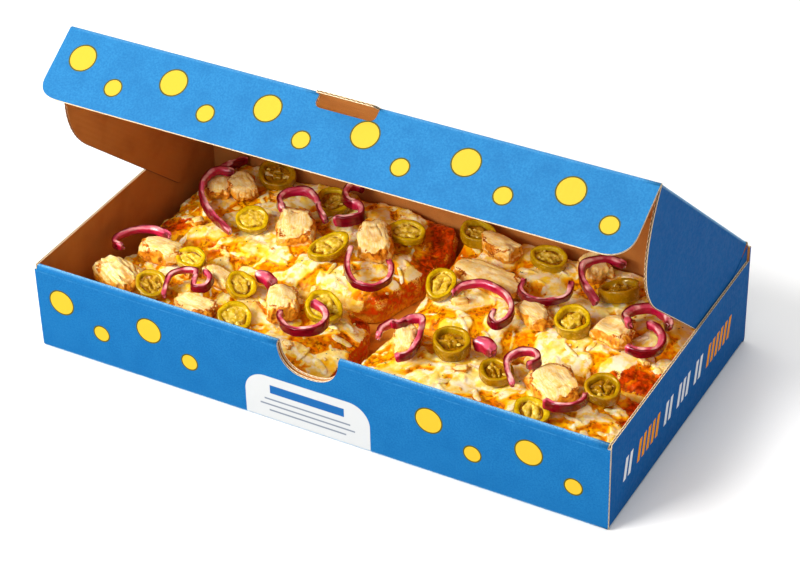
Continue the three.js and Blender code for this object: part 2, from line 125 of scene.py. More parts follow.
def quads(nu, nv, close_u=False, close_v=False):
    """Faces of a grid of nu x nv points, row-major in u."""
    i = np.arange(nu if close_u else nu - 1)
    j = np.arange(nv if close_v else nv - 1)
    i, j = (g.ravel() for g in np.meshgrid(i, j, indexing="ij"))
    a, b = i * nv + j, ((i + 1) % nu) * nv + j
    c, d = ((i + 1) % nu) * nv + (j + 1) % nv, i * nv + (j + 1) % nv
    return np.stack([a, b, c, d], 1)


def fill(outline):
    """Triangles, counter-clockwise, that fill a flat outline of points."""
    faces = np.array(tessellate_polygon([[Vector((p[0], p[1], 0)) for p in outline]]))
    a, b, c = (outline[faces[:, k]] for k in range(3))
    area = (b[:, 0] - a[:, 0]) * (c[:, 1] - a[:, 1]) - (b[:, 1] - a[:, 1]) * (c[:, 0] - a[:, 0])
    faces = np.where((area < 0)[:, None], faces[:, ::-1], faces)
    return faces[np.abs(area) > 1e-9]


def cube_sphere(n):
    """Points of the unit sphere on a cube's six n x n grids, and their faces."""
    g = np.tan(np.linspace(-1, 1, n) * math.pi / 4)
    u, v = np.meshgrid(g, g, indexing="ij")
    one = np.ones_like(u)
    sides = ((one, u, v), (-one, v, u), (v, one, u), (u, -one, v), (u, v, one), (v, u, -one))
    points = [unit(np.stack(p, -1).reshape(-1, 3)) for p in sides]
    return np.concatenate(points), np.concatenate([quads(n, n) + k * n * n for k in range(6)])


def spin(angle, axis="Z"):
    return np.array(Matrix.Rotation(angle, 3, axis))


class Build:
    """Collects points, faces and point values, and makes one piece of them."""

    def __init__(self):
        self.points, self.faces, self.mats, self.smooths = [], [], [], []
        self.values, self.count = {}, 0

    def add(self, points, faces, mat=0, smooth_faces=True, flip=False, **values):
        points = np.asarray(points, float).reshape(-1, 3)
        faces = np.asarray(faces)
        if flip:
            faces = faces[:, ::-1]
        self.points.append(points)
        self.faces += (faces + self.count).tolist()
        self.mats += [mat] * len(faces)
        self.smooths += [smooth_faces] * len(faces)
        for key, value in values.items():
            value = np.asarray(value, float)
            wide = value.ndim > 1 and value.shape[-1] == 3
            size = (len(points), 3) if wide else (len(points),)
            value = value.reshape(size) if value.size > 1 else np.full(size, float(value))
            self.values.setdefault(key, []).append((self.count, value))
        self.count += len(points)

    def cap(self, loop, flip=False, **values):
        """Closes a ring of points with a fan round their middle."""
        n = len(loop)
        fan = [[n, i, (i + 1) % n] for i in range(n)]
        self.add(np.vstack([loop, loop.mean(0)]), fan, flip=flip, **values)

    def piece(self, name, materials, body=None, slot=None, nodes=(), weld=0.0):
        mesh = bpy.data.meshes.new(name)
        points = (np.concatenate(self.points) - ORIGIN) * MM
        mesh.from_pydata(points.tolist(), [], self.faces)
        for m in materials:
            mesh.materials.append(m)
        mesh.polygons.foreach_set("material_index", self.mats)
        mesh.polygons.foreach_set("use_smooth", self.smooths)
        for key, parts in self.values.items():
            wide = parts[0][1].ndim == 2
            whole = np.zeros((self.count, 3) if wide else self.count, np.float32)
            for start, value in parts:
                whole[start : start + len(value)] = value
            made = mesh.attributes.new(key, "FLOAT_VECTOR" if wide else "FLOAT", "POINT")
            made.data.foreach_set("vector" if wide else "value", whole.ravel())
        if weld:
            bm = bmesh.new()
            bm.from_mesh(mesh)
            bmesh.ops.remove_doubles(bm, verts=bm.verts, dist=weld * MM)
            bm.to_mesh(mesh)
            bm.free()
        mesh.validate()
        mesh.update()
        obj = bpy.data.objects.new(name, mesh)
        bpy.context.scene.collection.objects.link(obj)
        if body:
            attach(obj, body)
        if nodes:
            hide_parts(*nodes)
        return obj


# ---- materials ----------------------------------------------------------------------------


def col(r, g, b):
    """An sRGB colour, 0 to 255, as linear RGBA."""
    c = [v / 255 for v in (r, g, b)]
    return tuple(v / 12.92 if v <= 0.04045 else ((v + 0.055) / 1.055) ** 2.4 for v in c) + (1.0,)


class Mat:
    """A node material. Calls return output sockets, which other calls take as inputs."""

    def __init__(self, name, **sockets):
        self.mat = bpy.data.materials.new(name)
        self.mat.use_nodes = True
        self.tree = self.mat.node_tree
        self.tree.nodes.clear()
        self.bsdf = self.tree.nodes.new("ShaderNodeBsdfPrincipled")
        out = self.tree.nodes.new("ShaderNodeOutputMaterial")
        self.tree.links.new(self.bsdf.outputs[0], out.inputs[0])
        for key, value in sockets.items():
            self.bsdf.inputs[key.replace("_", " ")].default_value = value

    def node(self, kind, inputs=(), out=0, **props):
        n = self.tree.nodes.new(kind)
        for key, value in props.items():
            setattr(n, key, value)
        for key, value in dict(inputs).items():
            if isinstance(value, bpy.types.NodeSocket):
                self.tree.links.new(value, n.inputs[key])
            else:
                n.inputs[key].default_value = value
        return n.outputs[out]

    def set(self, key, socket):
        self.tree.links.new(socket, self.bsdf.inputs[key])

    def attr(self, name, out="Fac"):
        return self.node("ShaderNodeAttribute", out=out, attribute_name=name)

    def scaled(self, vector, factors):
        return self.node("ShaderNodeVectorMath", {0: vector, 1: factors}, operation="MULTIPLY")

    def coords(self):
        return self.node("ShaderNodeTexCoord", out="Object")

    def noise(self, size_mm, detail, vector=None):
        """Noise from 0 to 1 with lumps of about that size."""
        inputs = {"Vector": vector or self.coords(), "Scale": 1 / (size_mm * MM), "Detail": detail}
        return self.node("ShaderNodeTexNoise", inputs)

    def streaks(self, name, factors, detail):
        """Noise over a vector attribute in millimetres, whose factors draw it out."""
        vector = self.scaled(self.attr(name, out="Vector"), factors)
        return self.node("ShaderNodeTexNoise", {"Vector": vector, "Scale": 1.0, "Detail": detail})

    def math(self, op, a, b=0.0):
        return self.node("ShaderNodeMath", {0: a, 1: b}, operation=op)

    def add(self, a, b):
        return self.math("ADD", a, b)

    def sub(self, a, b):
        return self.math("SUBTRACT", a, b)

    def mul(self, a, b):
        return self.math("MULTIPLY", a, b)

    def range(self, x, lo, hi, to_lo=0.0, to_hi=1.0):
        inputs = {0: x, 1: lo, 2: hi, 3: to_lo, 4: to_hi}
        return self.node("ShaderNodeMapRange", inputs, interpolation_type="SMOOTHSTEP")

    def mix(self, fac, a, b):
        return self.node("ShaderNodeMix", {0: fac, 6: a, 7: b}, out=2, data_type="RGBA")

    def patches(self, size_mm, detail, lo, hi, to_lo=0.0, to_hi=1.0):
        """Noise with its range lo to hi spread over to_lo to to_hi."""
        return self.range(self.noise(size_mm, detail), lo, hi, to_lo, to_hi)

    def mottle(self, size_mm, detail, lo, hi, a, b, most=1.0):
        """Colour a with patches of colour b."""
        return self.mix(self.patches(size_mm, detail, lo, hi, 0, most), a, b)

    def jitter(self, x, size_mm, amount):
        """x moved up and down by noise."""
        return self.add(x, self.mul(self.sub(self.noise(size_mm, 3), 0.5), amount))

    def within(self, x, lo, hi, soft=0.12):
        """1 where x lies between lo and hi."""
        return self.mul(self.range(x, lo - soft, lo + soft), self.range(x, hi + soft, hi - soft))

    def bump(self, height, depth_mm, strength):
        inputs = {"Height": height, "Distance": depth_mm * MM, "Strength": strength}
        normal = self.bsdf.inputs["Normal"]
        if normal.is_linked:
            inputs["Normal"] = normal.links[0].from_socket
        self.set("Normal", self.node("ShaderNodeBump", inputs))

    def sheet(self):
        """Coordinates u and v of the flat board."""
        n = self.tree.nodes.new("ShaderNodeSeparateXYZ")
        self.tree.links.new(self.attr("sheet", out="Vector"), n.inputs[0])
        return n.outputs[0], n.outputs[1]

    def flutes(self, u, depth_mm, strength):
        """The board's flutes, which show through its faces."""
        self.bump(self.math("SINE", self.mul(u, TAU / FLUTE)), depth_mm, strength)


# ---- board materials ----------------------------------------------------------------------

BLUE = col(22, 96, 148)
BLUE_LIGHT = col(34, 110, 160)
BLUE_DEEP = col(14, 84, 136)
BLUE_WORN = col(120, 185, 228)
FRONT_DEEP, FRONT_SHADE = 0.36, col(2, 66, 128)  # share and colour of the painted shade that darkens the front wall's ink
SIDE_DEEP, SIDE_SHADE = 0.62, col(8, 74, 150)  # the same painted shade, stronger, for the side panels
YELLOW = col(198, 158, 42)
OLIVE = col(70, 74, 22)
AMBER = col(236, 150, 16)
WHITE = col(222, 226, 230)
LABEL = col(178, 180, 181)
DISC_PITCH, BIG, SMALL = 63.0, 8.2, 5.2  # spacing and radii of the printed discs
RING = 0.9  # width of the dark line round a disc
BLUR = 0.15  # softness of a printed edge
STROKE, SLANT = 6.2, 0.22  # pitch and slant of the side wall's strokes
# groups of strokes, (first, count, paint)
STROKES = ((3, 2, WHITE), (6, 5, AMBER), (12, 2, WHITE), (15, 3, WHITE), (19, 2, WHITE), (22, 6, AMBER))


def printed(name, art=None, deep=0.0, shade=FRONT_SHADE):
    """Coated blue print on board: mottled ink, faint flute lines, folds paler where scuffed and, along the
    front wall's roll, a painted highlight, and, given a share deep, painted shade.
    """
    m = Mat(name, Specular_IOR_Level=0.015 if deep else 0.12)
    u, v = m.sheet()
    ink = m.mottle(1.1, 3, 0.3, 0.7, BLUE, BLUE_LIGHT)
    ink = m.mottle(14, 3, 0.35, 0.75, ink, BLUE_DEEP, 0.35)
    # painted shade: given a share deep, the ink is darkened towards the colour shade
    if deep:
        ink = m.mix(m.patches(0.7, 2, 0.2, 0.8, deep, deep * 0.85), ink, shade)
    colour = art(m, u, v, ink) if art else ink
    # paler on the folds: scuffed ink, and on the roll a painted highlight
    worn = m.mul(m.attr("wear"), m.patches(0.8, 3, 0.35, 0.6, 0.25, 0.9))
    m.set("Base Color", m.mix(worn, colour, BLUE_WORN))
    m.flutes(u, 0.035, 0.35)
    m.bump(m.noise(0.5, 4), 0.05, 0.5)
    m.set("Roughness", m.patches(2.5, 2, 0.3, 0.7, 0.44, 0.6))
    return m.mat


def disc(m, u, v, cu, cv, r, under):
    """Paints a yellow disc with a thin dark line round it."""
    du, dv = m.math("ABSOLUTE", m.sub(u, cu)), m.math("ABSOLUTE", m.sub(v, cv))
    d = m.math("SQRT", m.add(m.math("POWER", du, 2.0), m.math("POWER", dv, 2.0)))
    d = m.add(d, m.mul(m.noise(0.7, 2), 0.25))
    ringed = m.mix(m.range(d, r + RING + 0.2, r + RING - 0.1), under, OLIVE)
    return m.mix(m.range(d, r + BLUR, r - BLUR), ringed, YELLOW)


def dots(first, high, low):
    """A staggered row of discs, big ones at v = high and small ones at v = low by turns."""

    def art(m, u, v, ink):
        at = m.sub(u, first)
        cell = m.math("FLOOR", m.math("DIVIDE", at, DISC_PITCH))
        local = m.sub(at, m.mul(cell, DISC_PITCH))
        colour = disc(m, local, v, DISC_PITCH * 0.28, high, BIG, ink)
        return disc(m, local, v, DISC_PITCH * 0.72, low, SMALL, colour)

    return art


def bar(m, u, v, u0, u1, v0, v1, under, paint, mask=None):
    """Paints the box u0..u1, v0..v1, where there is a mask only within it."""
    inside = m.mul(m.within(u, u0, u1), m.within(v, v0, v1))
    return m.mix(m.mul(inside, mask) if mask else inside, under, paint)


def panel_label(m, u, v, u0, u1, v0, v1, r, under):
    """A white field whose two upper corners (low v) are rounded, down to v1."""
    du = m.sub(m.math("ABSOLUTE", m.sub(u, (u0 + u1) / 2)), (u1 - u0) / 2 - r)
    du, dv = (m.math("MAXIMUM", d, 0.0) for d in (du, m.sub(v0 + r, v)))
    d = m.math("SQRT", m.add(m.mul(du, du), m.mul(dv, dv)))
    inside = m.mul(m.range(d, r + BLUR, r - BLUR), m.range(v, v1 + BLUR, v1 - BLUR))
    return m.mix(inside, under, LABEL)


def front_art(m, u, v, ink):
    """Front wall: discs either side of a white field with a bar and thin rules in it."""
    top = INNER_H + math.pi * PLY  # where the outer ply begins
    colour = dots(0.0, top + 20, top + 34)(m, u, v, ink)
    colour = bar(m, u, v, 120, 256, top - 1, top + 70, colour, ink)
    colour = panel_label(m, u, v, 147, 231, top + 25.5, top + 60, 14, colour)
    colour = bar(m, u, v, 164, 214, top + 31.5, top + 37.5, colour, col(26, 84, 140))
    for k, (a, c) in enumerate(((160, 218), (157, 221), (163, 215))):
        rule = top + 41.5 + 4 * k
        colour = bar(m, u, v, a, c, rule, rule + 1.2, colour, col(112, 120, 132))
    # a painted highlight: a thin paler line on the flat of the wall, just below the roll
    crease = m.mul(m.range(v, top + 0.9, top + 1.2), m.range(v, top + 2.0, top + 1.6))
    crease = m.mul(crease, m.patches(3, 3, 0.35, 0.6, 0.05, 0.4))
    return m.mix(crease, colour, col(60, 126, 172))


def side_art(m, u, v, ink):
    """Right wall: one row of slanted strokes, in groups of white and amber."""
    low, high = 21.0, 36.0
    at = m.sub(u, m.mul(m.sub(v, low), SLANT))
    stripe = m.math("FRACT", m.math("DIVIDE", at, STROKE))
    stroke = m.mul(m.range(stripe, 0.04, 0.1), m.range(stripe, 0.68, 0.62))
    colour = ink
    for first, count, paint in STROKES:
        start, end = first * STROKE, (first + count) * STROKE
        colour = bar(m, at, v, start, end, low, high, colour, paint, mask=stroke)
    return colour


def kraft():
    """Brown board inside: fine grain, flecks and, on the floor, greasy patches painted bright gold, partly
    as painted bounced light.
    """
    m = Mat("kraft_inside", Specular_IOR_Level=0.12)
    grain = m.noise(1, 5, m.scaled(m.coords(), (2000, 1000 / 3, 1000)))  # too fine to be seen apart
    colour = m.mix(m.range(grain, 0.35, 0.65), col(180, 110, 46), col(204, 138, 70))
    colour = m.mottle(18, 3, 0.4, 0.7, colour, col(168, 98, 42), 0.45)
    colour = m.mottle(0.45, 2, 0.68, 0.78, colour, col(96, 58, 28), 0.5)
    oiled = m.mul(m.attr("grease"), m.patches(9, 4, 0.3, 0.5))
    # painted light: the greasy patches are lighter than the board, standing in for light bounced from the
    # cheese
    oil = m.mix(m.noise(3, 3), col(255, 198, 84), col(246, 164, 46))
    m.set("Base Color", m.mix(oiled, colour, oil))
    m.set("Roughness", m.range(oiled, 0.0, 1.0, 0.75, 0.35))
    m.bump(grain, 0.06, 0.5)
    m.flutes(m.sheet()[0], 0.05, 0.4)
    return m.mat


def cut_board():
    """The cut edge: pale liners and flute, and in the hollows brown paper darkened as painted shade."""
    m = Mat("board_cut_edge", Roughness=0.8, Specular_IOR_Level=0.2)
    pale = m.mix(m.noise(0.6, 3), col(250, 236, 204), col(228, 198, 150))
    # painted shade: the dark colour of the hollows between the flutes
    deep = m.mix(m.noise(0.8, 2), col(120, 78, 40), col(84, 54, 30))
    pale = m.mix(m.attr("tan"), pale, m.mix(m.noise(1.5, 3), col(176, 108, 50), col(150, 86, 34)))
    m.set("Base Color", m.mix(m.range(m.attr("depth"), 0.25, 0.8), pale, deep))
    m.bump(m.noise(0.3, 3), 0.08, 0.6)
    return m.mat


# ---- folded board -------------------------------------------------------------------------

CUT_STEP, FOLD_STEP = 0.55, 12.0
FOLD, CUT = False, True
# OUT_DEEP is the plain print darkened as painted shade, as the side prints are
OUT_PLAIN, INNER, EDGE, OUT_FRONT, OUT_SIDE, OUT_LID, OUT_DEEP = range(7)


class Path:
    """A line in a plane made of straight and bent runs, (length, turn in degrees)."""

    def __init__(self, start, heading, runs, side=1):
        self.side, self.rows, self.ends = side, [], [0.0]
        p, a, s = np.array(start, float), rad(heading), 0.0
        for length, turn in runs:
            turn = rad(turn)
            self.rows.append((s, length, p, a, turn))
            p = self.step(p, a, turn / length, length)
            a, s = a + turn, s + length
            self.ends.append(s)

    @staticmethod
    def step(p, a, k, t):
        """The point t along from p, with heading a and curvature k there."""
        t = np.asarray(t, float)
        if abs(k) < 1e-9:
            return p + np.stack([t * math.cos(a), t * math.sin(a)], -1)
        end = a + k * t
        return p + np.stack([(np.sin(end) - math.sin(a)) / k, (math.cos(a) - np.cos(end)) / k], -1)

    def at(self, s, w):
        """Points at length s, w to the printed side of the line."""
        s = np.asarray(s, float)
        w = np.broadcast_to(w, s.shape)
        out = np.zeros(s.shape + (2,))
        for i, (s0, length, p, a, turn) in enumerate(self.rows):
            last = i == len(self.rows) - 1
            here = (s >= s0 if i else np.ones(s.shape, bool)) & ((s < s0 + length) | last)
            t, k = s[here] - s0, turn / length
            normal = np.stack([np.sin(a + k * t), -np.cos(a + k * t)], -1) * self.side
            out[here] = self.step(p, a, k, t) + w[here][:, None] * normal
        return out


def arc(r, turn):
    return (r * rad(abs(turn)), turn)


def sample(a, b, step):
    """Points from a up to but not including b."""
    a, b = np.asarray(a, float), np.asarray(b, float)
    n = max(1, round(float(np.linalg.norm(b - a)) / step))
    return a + (b - a) * (np.arange(n) / n)[:, None]


def bezier(*p):
    """Thirteen points of a Bezier curve."""
    t, last = np.linspace(0, 1, 13)[:, None], len(p) - 1
    shares = (math.comb(last, k) * t**k * (1 - t) ** (last - k) for k in range(last + 1))
    return list(sum(share * np.array(q, float) for share, q in zip(shares, p)))


class Sheet:
    """A flat cut of board, coordinates (u, v), that fold() takes to its folded place."""

    def __init__(self, build, fold):
        self.build, self.fold = build, fold
        self.tan = 0.0  # 1 while cut edges are brown ones
        # whether (u, v, w), w towards the print, is right-handed in its folded place
        p = fold(*(ORIGIN + np.vstack([np.zeros(3), 1e-3 * np.eye(3)])).T)
        self.sign = float(np.sign(np.dot(np.cross(p[1] - p[0], p[2] - p[0]), p[3] - p[0])))

    def put(self, uv, w, faces, mat, smooth_faces, flip, **values):
        w = np.broadcast_to(w, len(uv))
        points = self.fold(uv[:, 0], uv[:, 1], w)
        self.build.add(points, faces, mat, smooth_faces, flip, sheet=np.column_stack([uv, w]), **values)

    def both(self, uv, faces, mat, smooth_faces, **values):
        """The printed face, and the plain one behind it."""
        for w, material, up in ((HALF, mat, 1), (-HALF, INNER, -1)):
            self.put(uv, w, faces, material, smooth_faces, self.sign * up < 0, **values)

    def panel(self, *runs, mat=OUT_PLAIN, **values):
        """A flat part inside a loop of runs, each (kind, point, ...), the board on their left.

        A run ends where the next one starts. Its kind is FOLD, CUT or, where print wraps the cut
        edge, the edge's material."""
        loop = []
        for (kind, *points), (_, after, *_) in zip(runs, runs[1:] + runs[:1]):
            ends = [*points, after]
            step = FOLD_STEP if kind is FOLD else CUT_STEP
            loop += [sample(a, b, step) for a, b in zip(ends, ends[1:])]
            if kind is not FOLD:
                self.line(*ends, mat=kind)
        uv = np.concatenate(loop)
        self.both(uv, fill(uv), mat, False, **values)

    def bend(self, u0, u1, v0, v1, mat=OUT_PLAIN, across=False, wear=0.8, crest=None):
        """A folded strip between v0 and v1, or with across between u0 and u1, paler along its middle where
        scuffed; with crest, paler in a narrow line there instead, partly scuffed ink and partly a painted
        highlight.
        """
        us = np.append(sample([u0], [u1], CUT_STEP if across else FOLD_STEP), u1)
        vs = np.append(sample([v0], [v1], FOLD_STEP if across else CUT_STEP), v1)
        uu, vv = (g.ravel() for g in np.meshgrid(us, vs, indexing="ij"))
        t = (uu - u0) / (u1 - u0) if across else (vv - v0) / (v1 - v0)
        rubbed = np.sin(math.pi * t) if crest is None else np.exp(-(((t - crest) / 0.17) ** 2))
        self.both(np.column_stack([uu, vv]), quads(len(us), len(vs)), mat, True, wear=wear * rubbed)

    def line(self, *points, mat=CUT):
        """A cut edge along straight lines, the board on its left: two flush liners, and between
        them the winding flute, or with a material the print that wraps the edge."""
        pts = np.vstack([sample(a, b, CUT_STEP) for a, b in zip(points, points[1:])] + [points[-1]])
        step = unit(np.gradient(pts, axis=0))
        inward = np.stack([-step[:, 1], step[:, 0]], 1)
        swing, thin, recess, liner = 0.36, 0.15, 0.5, 0.48  # of the flute, and where the liners begin
        upper = [HALF, 0.5, 0.45, 0.27, 0.09]
        levels = np.array(upper + [-w for w in upper[::-1]])
        flute = swing * np.sin(TAU * run_along(pts)[:, None] / FLUTE + pts[0, 0])
        ridge = np.exp(-(((levels - flute) / thin) ** 2))
        hollow = np.where(np.abs(levels) < liner, 1 - ridge, 0.0) * (mat is CUT)
        uv = (pts[:, None] + recess * hollow[..., None] * inward[:, None]).reshape(-1, 2)
        w = np.broadcast_to(levels, hollow.shape).ravel()
        faces, edge = quads(len(pts), len(levels)), EDGE if mat is CUT else mat
        self.put(uv, w, faces, edge, False, self.sign > 0, depth=hollow, tan=self.tan)


# ---- the tray -----------------------------------------------------------------------------

SIDE_IN = 1.9  # the floor's edge, in from the box's side
OUTER_H, FLOOR_D, BACK_H, SIDE_H = 55.8, 196.2, 68.0, 58.1  # straight lengths between folds
WEB_OUT, WEB_IN = 380.42, 380.12  # the right web's two faces


def tray():
    b = Build()
    walls = [(INNER_H, 0), arc(PLY, 180), (OUTER_H, 0), arc(BEND, 90)]
    path = Path((3.85, 2.0), 90, [*walls, (FLOOR_D, 0), arc(BEND, 90), (BACK_H, 0)])
    _, v_in, v_top, v_low, v_floor, v_far, v_back, v_end = path.ends
    s = Sheet(b, lambda u, v, w: np.column_stack([u, path.at(v, w)]))
    mid, lo, hi, inset = BOX_W / 2, 0.0, BOX_W, 1.7
    # the thumb notch: half widths, and depths below the start of the roll, which it cuts through
    widest, deepest, above, gap = 20.5, 21.2, 3.0, 20.42
    t = np.linspace(0, math.pi, 49)
    half = widest * np.sign(np.cos(t)) * np.abs(np.cos(t)) ** 0.8
    drop = deepest * np.abs(np.sin(t)) ** 0.85 - above
    notch = [(x, d) for x, d in zip(half, drop) if d > 0]
    # inner ply, with the board's foot just above the floor
    s.panel((CUT, (inset, 0), (hi - inset, 0)), (FOLD, (hi - inset, v_in)),
            (CUT, (mid + gap, v_in), *((mid + x, v_in - d) for x, d in notch)), (FOLD, (mid - gap, v_in)),
            (CUT, (inset, v_in)), mat=INNER)
    # outer ply
    s.panel((FOLD, (inset, v_top)), (CUT, (mid - gap, v_top), *((mid - x, v_top + d) for x, d in notch)),
            (FOLD, (mid + gap, v_top)), (CUT, (hi - inset, v_top), (hi, v_top)), (FOLD, (hi, v_low)),
            (CUT, (lo, v_low), (lo, v_top)), mat=OUT_FRONT)
    for u0, u1 in ((inset, mid - gap), (mid + gap, hi - inset)):
        # a painted highlight: a narrow pale line along the roll, partly scuffed ink
        s.bend(u0, u1, v_in, v_top, mat=OUT_FRONT, wear=1.5, crest=0.42)
    s.line((hi - inset, v_in), (hi - inset, v_top))
    s.line((inset, v_top), (inset, v_in))
    s.line((mid - gap, v_in), (mid - gap, v_top))
    s.line((mid + gap, v_top), (mid + gap, v_in))
    # foot of the front wall, floor and back wall
    s.bend(lo, hi, v_low, v_floor, mat=OUT_FRONT)
    s.line((lo, v_floor), (lo, v_low))
    s.line((hi, v_low), (hi, v_floor))
    left, right = SIDE_IN, hi - SIDE_IN
    s.panel((FOLD, (left, v_floor), (right, v_floor), (right, v_far), (left, v_far)), mat=INNER, grease=1.0)
    s.bend(lo, hi, v_far, v_back)
    s.line((hi, v_far), (hi, v_back), mat=OUT_DEEP)
    s.line((lo, v_back), (lo, v_far), mat=OUT_DEEP)
    s.panel((FOLD, (lo, v_back)), (OUT_DEEP, (hi, v_back)), (CUT, (hi, v_end)), (FOLD, (hi - 2, v_end)),
            (CUT, (2, v_end)), (OUT_DEEP, (lo, v_end)))
    for mirror, mat in ((False, OUT_SIDE), (True, OUT_DEEP)):
        side_wall(b, mirror, mat)
        web(b, mirror)
    return b


def side_wall(b, mirror, mat):
    path = Path((BOX_W - SIDE_IN, HALF), 0, [arc(BEND, 90), (SIDE_H, 0)])

    def fold(u, v, w):
        x, z = path.at(v, w).T
        return np.column_stack([BOX_W - x if mirror else x, u, z])

    s = Sheet(b, fold)
    y0, y1 = 1.6, BOX_D - BOARD - 0.05
    _, foot, top = path.ends
    s.bend(y0, y1, 0, foot, mat=mat)
    s.line((y0, foot), (y0, 0))
    s.line((y1, 0), (y1, foot))
    s.panel((FOLD, (y0, foot)), (CUT, (y1, foot), (y1, top), (y0, top)), mat=mat)


def web(b, mirror):
    """The thin web folded in at a back corner, between the wall and the lid's side flap."""
    corner = bezier((199.0, 69.5), (198.9, 70.4), (197.6, 70.3))
    rim = np.array([(199, 40), (199, 68), *corner, (182, 62.5), (168, 57), (160, 40)])
    n, faces = len(rim), fill(rim)
    places = (BOX_W - x if mirror else x for x in (WEB_OUT, WEB_IN))
    outer, inner = (np.column_stack([np.full(n, x), rim]) for x in places)
    b.add(outer, faces, OUT_DEEP, False, mirror, sheet=outer[:, [1, 2, 0]])
    b.add(inner, faces, INNER, False, not mirror, sheet=inner[:, [1, 2, 0]])
    b.add(np.vstack([outer, inner]), quads(2, n, close_v=True), OUT_DEEP, False, mirror)


# ---- the lid ------------------------------------------------------------------------------

HINGE_Y, HINGE_Z = 199.2, 71.6
LID_OPEN, FLAP_OPEN = 41.4, 16.0
LID_IN, LID_L = 3.9, 187.0  # where the panel's side folds begin, and how far its front fold is
LID_NEAR, LID_FAR = 2.1, 184.2  # the panel ends where its creases begin
SIDE_FLAP, SIDE_FLAP_NEAR, SIDE_FLAP_FAR = 60.5, 2.6, 184.7
FLAP_TOP, FLAP_DEEP = 2.2, 47.5
TAB0, TAB1, TAB_L = 172.0, 210.0, 8.0
SLOT0, SLOT1, SLOT_L = TAB0 - 0.35, TAB1 + 0.35, 9.5  # the hole in the flap that the tab leaves
MARGIN = 2.0  # the flap and the creases end this far in from the box's sides


def turn_x(points, degrees, origin):
    """Points turned about X and moved, from a hinged part's own axes to its parent's."""
    c, s = math.cos(rad(degrees)), math.sin(rad(degrees))
    x, y, z = points.T
    return np.column_stack([x, y * c - z * s, y * s + z * c]) + origin


def from_lid(points):
    return turn_x(points, -LID_OPEN, (0, HINGE_Y, HINGE_Z))


def from_flap(points):
    return from_lid(turn_x(points, -FLAP_OPEN, (0, -LID_L, HALF)))


def lid():
    b = Build()
    drop = SIDE_FLAP - BEND
    runs = [(drop, 0), arc(BEND, -90), (BOX_W - 2 * LID_IN, 0), arc(BEND, -90), (drop, 0)]
    across = Path((LID_IN - BEND, -SIDE_FLAP), 90, runs, side=-1)
    _, u_left, u0, u1, u_right, _ = across.ends

    def fold(u, v, w):
        x, z = across.at(u, w).T
        return from_lid(np.column_stack([x, -v, z]))

    s = Sheet(b, fold)
    t0, t1, tip = u0 + TAB0 - LID_IN, u0 + TAB1 - LID_IN, LID_L + TAB_L
    tab = [(t1, LID_FAR), *bezier((t1, tip - 3), (t1, tip), (t1 - 4, tip)),
           *bezier((t0 + 4, tip), (t0, tip), (t0, tip - 3))]
    s.panel((FOLD, (u0, LID_NEAR), (u1, LID_NEAR), (u1, LID_FAR)), (CUT, *tab),
            (FOLD, (t0, LID_FAR), (u0, LID_FAR)))
    near, far = SIDE_FLAP_NEAR, SIDE_FLAP_FAR
    for a, c in ((u_left, u0), (u1, u_right)):
        s.bend(a, c, near, far, across=True)
    s.line((u0, near), (u_left, near))
    s.line((u_right, near), (u1, near))
    s.line((u_left, far), (u0, far))
    s.line((u1, far), (u_right, far))
    # a side flap's rim, (v, distance from the fold)
    rim = [(near, 0), *bezier((6.5, 56.4), (6.7, 59.35), (10, 59.35)),
           *bezier((132, 59.35), (156, 58.4), (172, 43.9), (180.5, 18.9)),
           *bezier((180.5, 18.9), (183.3, 9.5), (far, 0))[1:]]
    left = [(u_left - d, v) for v, d in rim]
    right = [(u_right + d, v) for v, d in rim[::-1]]
    s.tan = 1.0
    s.panel((CUT, *left[:-1]), (FOLD, left[-1]), mat=OUT_DEEP)
    s.tan = 0.0
    s.panel((CUT, *right[:-1]), (FOLD, right[-1]), mat=OUT_DEEP)
    return b


def front_flap():
    b = Build()
    s = Sheet(b, lambda u, v, w: from_flap(np.column_stack([u, HALF - w, -v])))
    x0, x1, deep, low = MARGIN, BOX_W - MARGIN, FLAP_DEEP, SLOT_L
    slot = [(SLOT0, FLAP_TOP), *bezier((SLOT0, low - 4), (SLOT0, low), (SLOT0 + 4.5, low)),
            *bezier((SLOT1 - 4.5, low), (SLOT1, low), (SLOT1, low - 4))]
    right = bezier((x1 - 0.6, deep - 15), (x1 - 0.8, deep - 6), (x1 - 7, deep), (x1 - 18, deep))
    left = bezier((x0 + 14, deep), (x0 + 5, deep), (x0, deep - 4), (x0, deep - 12))
    s.panel((FOLD, (x0, FLAP_TOP)), (CUT, *slot), (FOLD, (SLOT1, FLAP_TOP)),
            (CUT, (x1, FLAP_TOP), *right, *left), mat=OUT_LID)
    return b


def crease(path, place, spans, **looks):
    """A strip with one bend over the spans of u. Also returns where its bend starts and ends."""
    b = Build()

    def fold(u, v, w):
        return place(np.column_stack([u, path.at(v, w)]))

    s = Sheet(b, fold)
    end = path.ends[-1]
    for u0, u1 in spans:
        s.bend(u0, u1, 0, end, **looks)
        s.line((u1, 0), (u1, end))
        s.line((u0, end), (u0, 0))
    return b, fold(np.full(2, BOX_W / 2), path.ends[1:3], 0)


def lid_crease():
    """The bent strip between the lid's panel and its front flap, open where the tab passes."""
    path = Path((-LID_FAR, 0), 180, [(1.029, 0), arc(1.6, 90 - FLAP_OPEN), (0.429, 0)])
    return crease(path, from_lid, ((MARGIN, SLOT0), (SLOT1, BOX_W - MARGIN)), mat=OUT_LID, wear=0.3)


def hinge_crease():
    """The bent strip between the back wall and the lid's panel."""
    path = Path((199.25, 69.9), 90, [(0.663, 0), arc(2.2, 90 - LID_OPEN), (1.174, 0)])
    return crease(path, np.asarray, ((MARGIN, BOX_W - MARGIN),), wear=0.6)
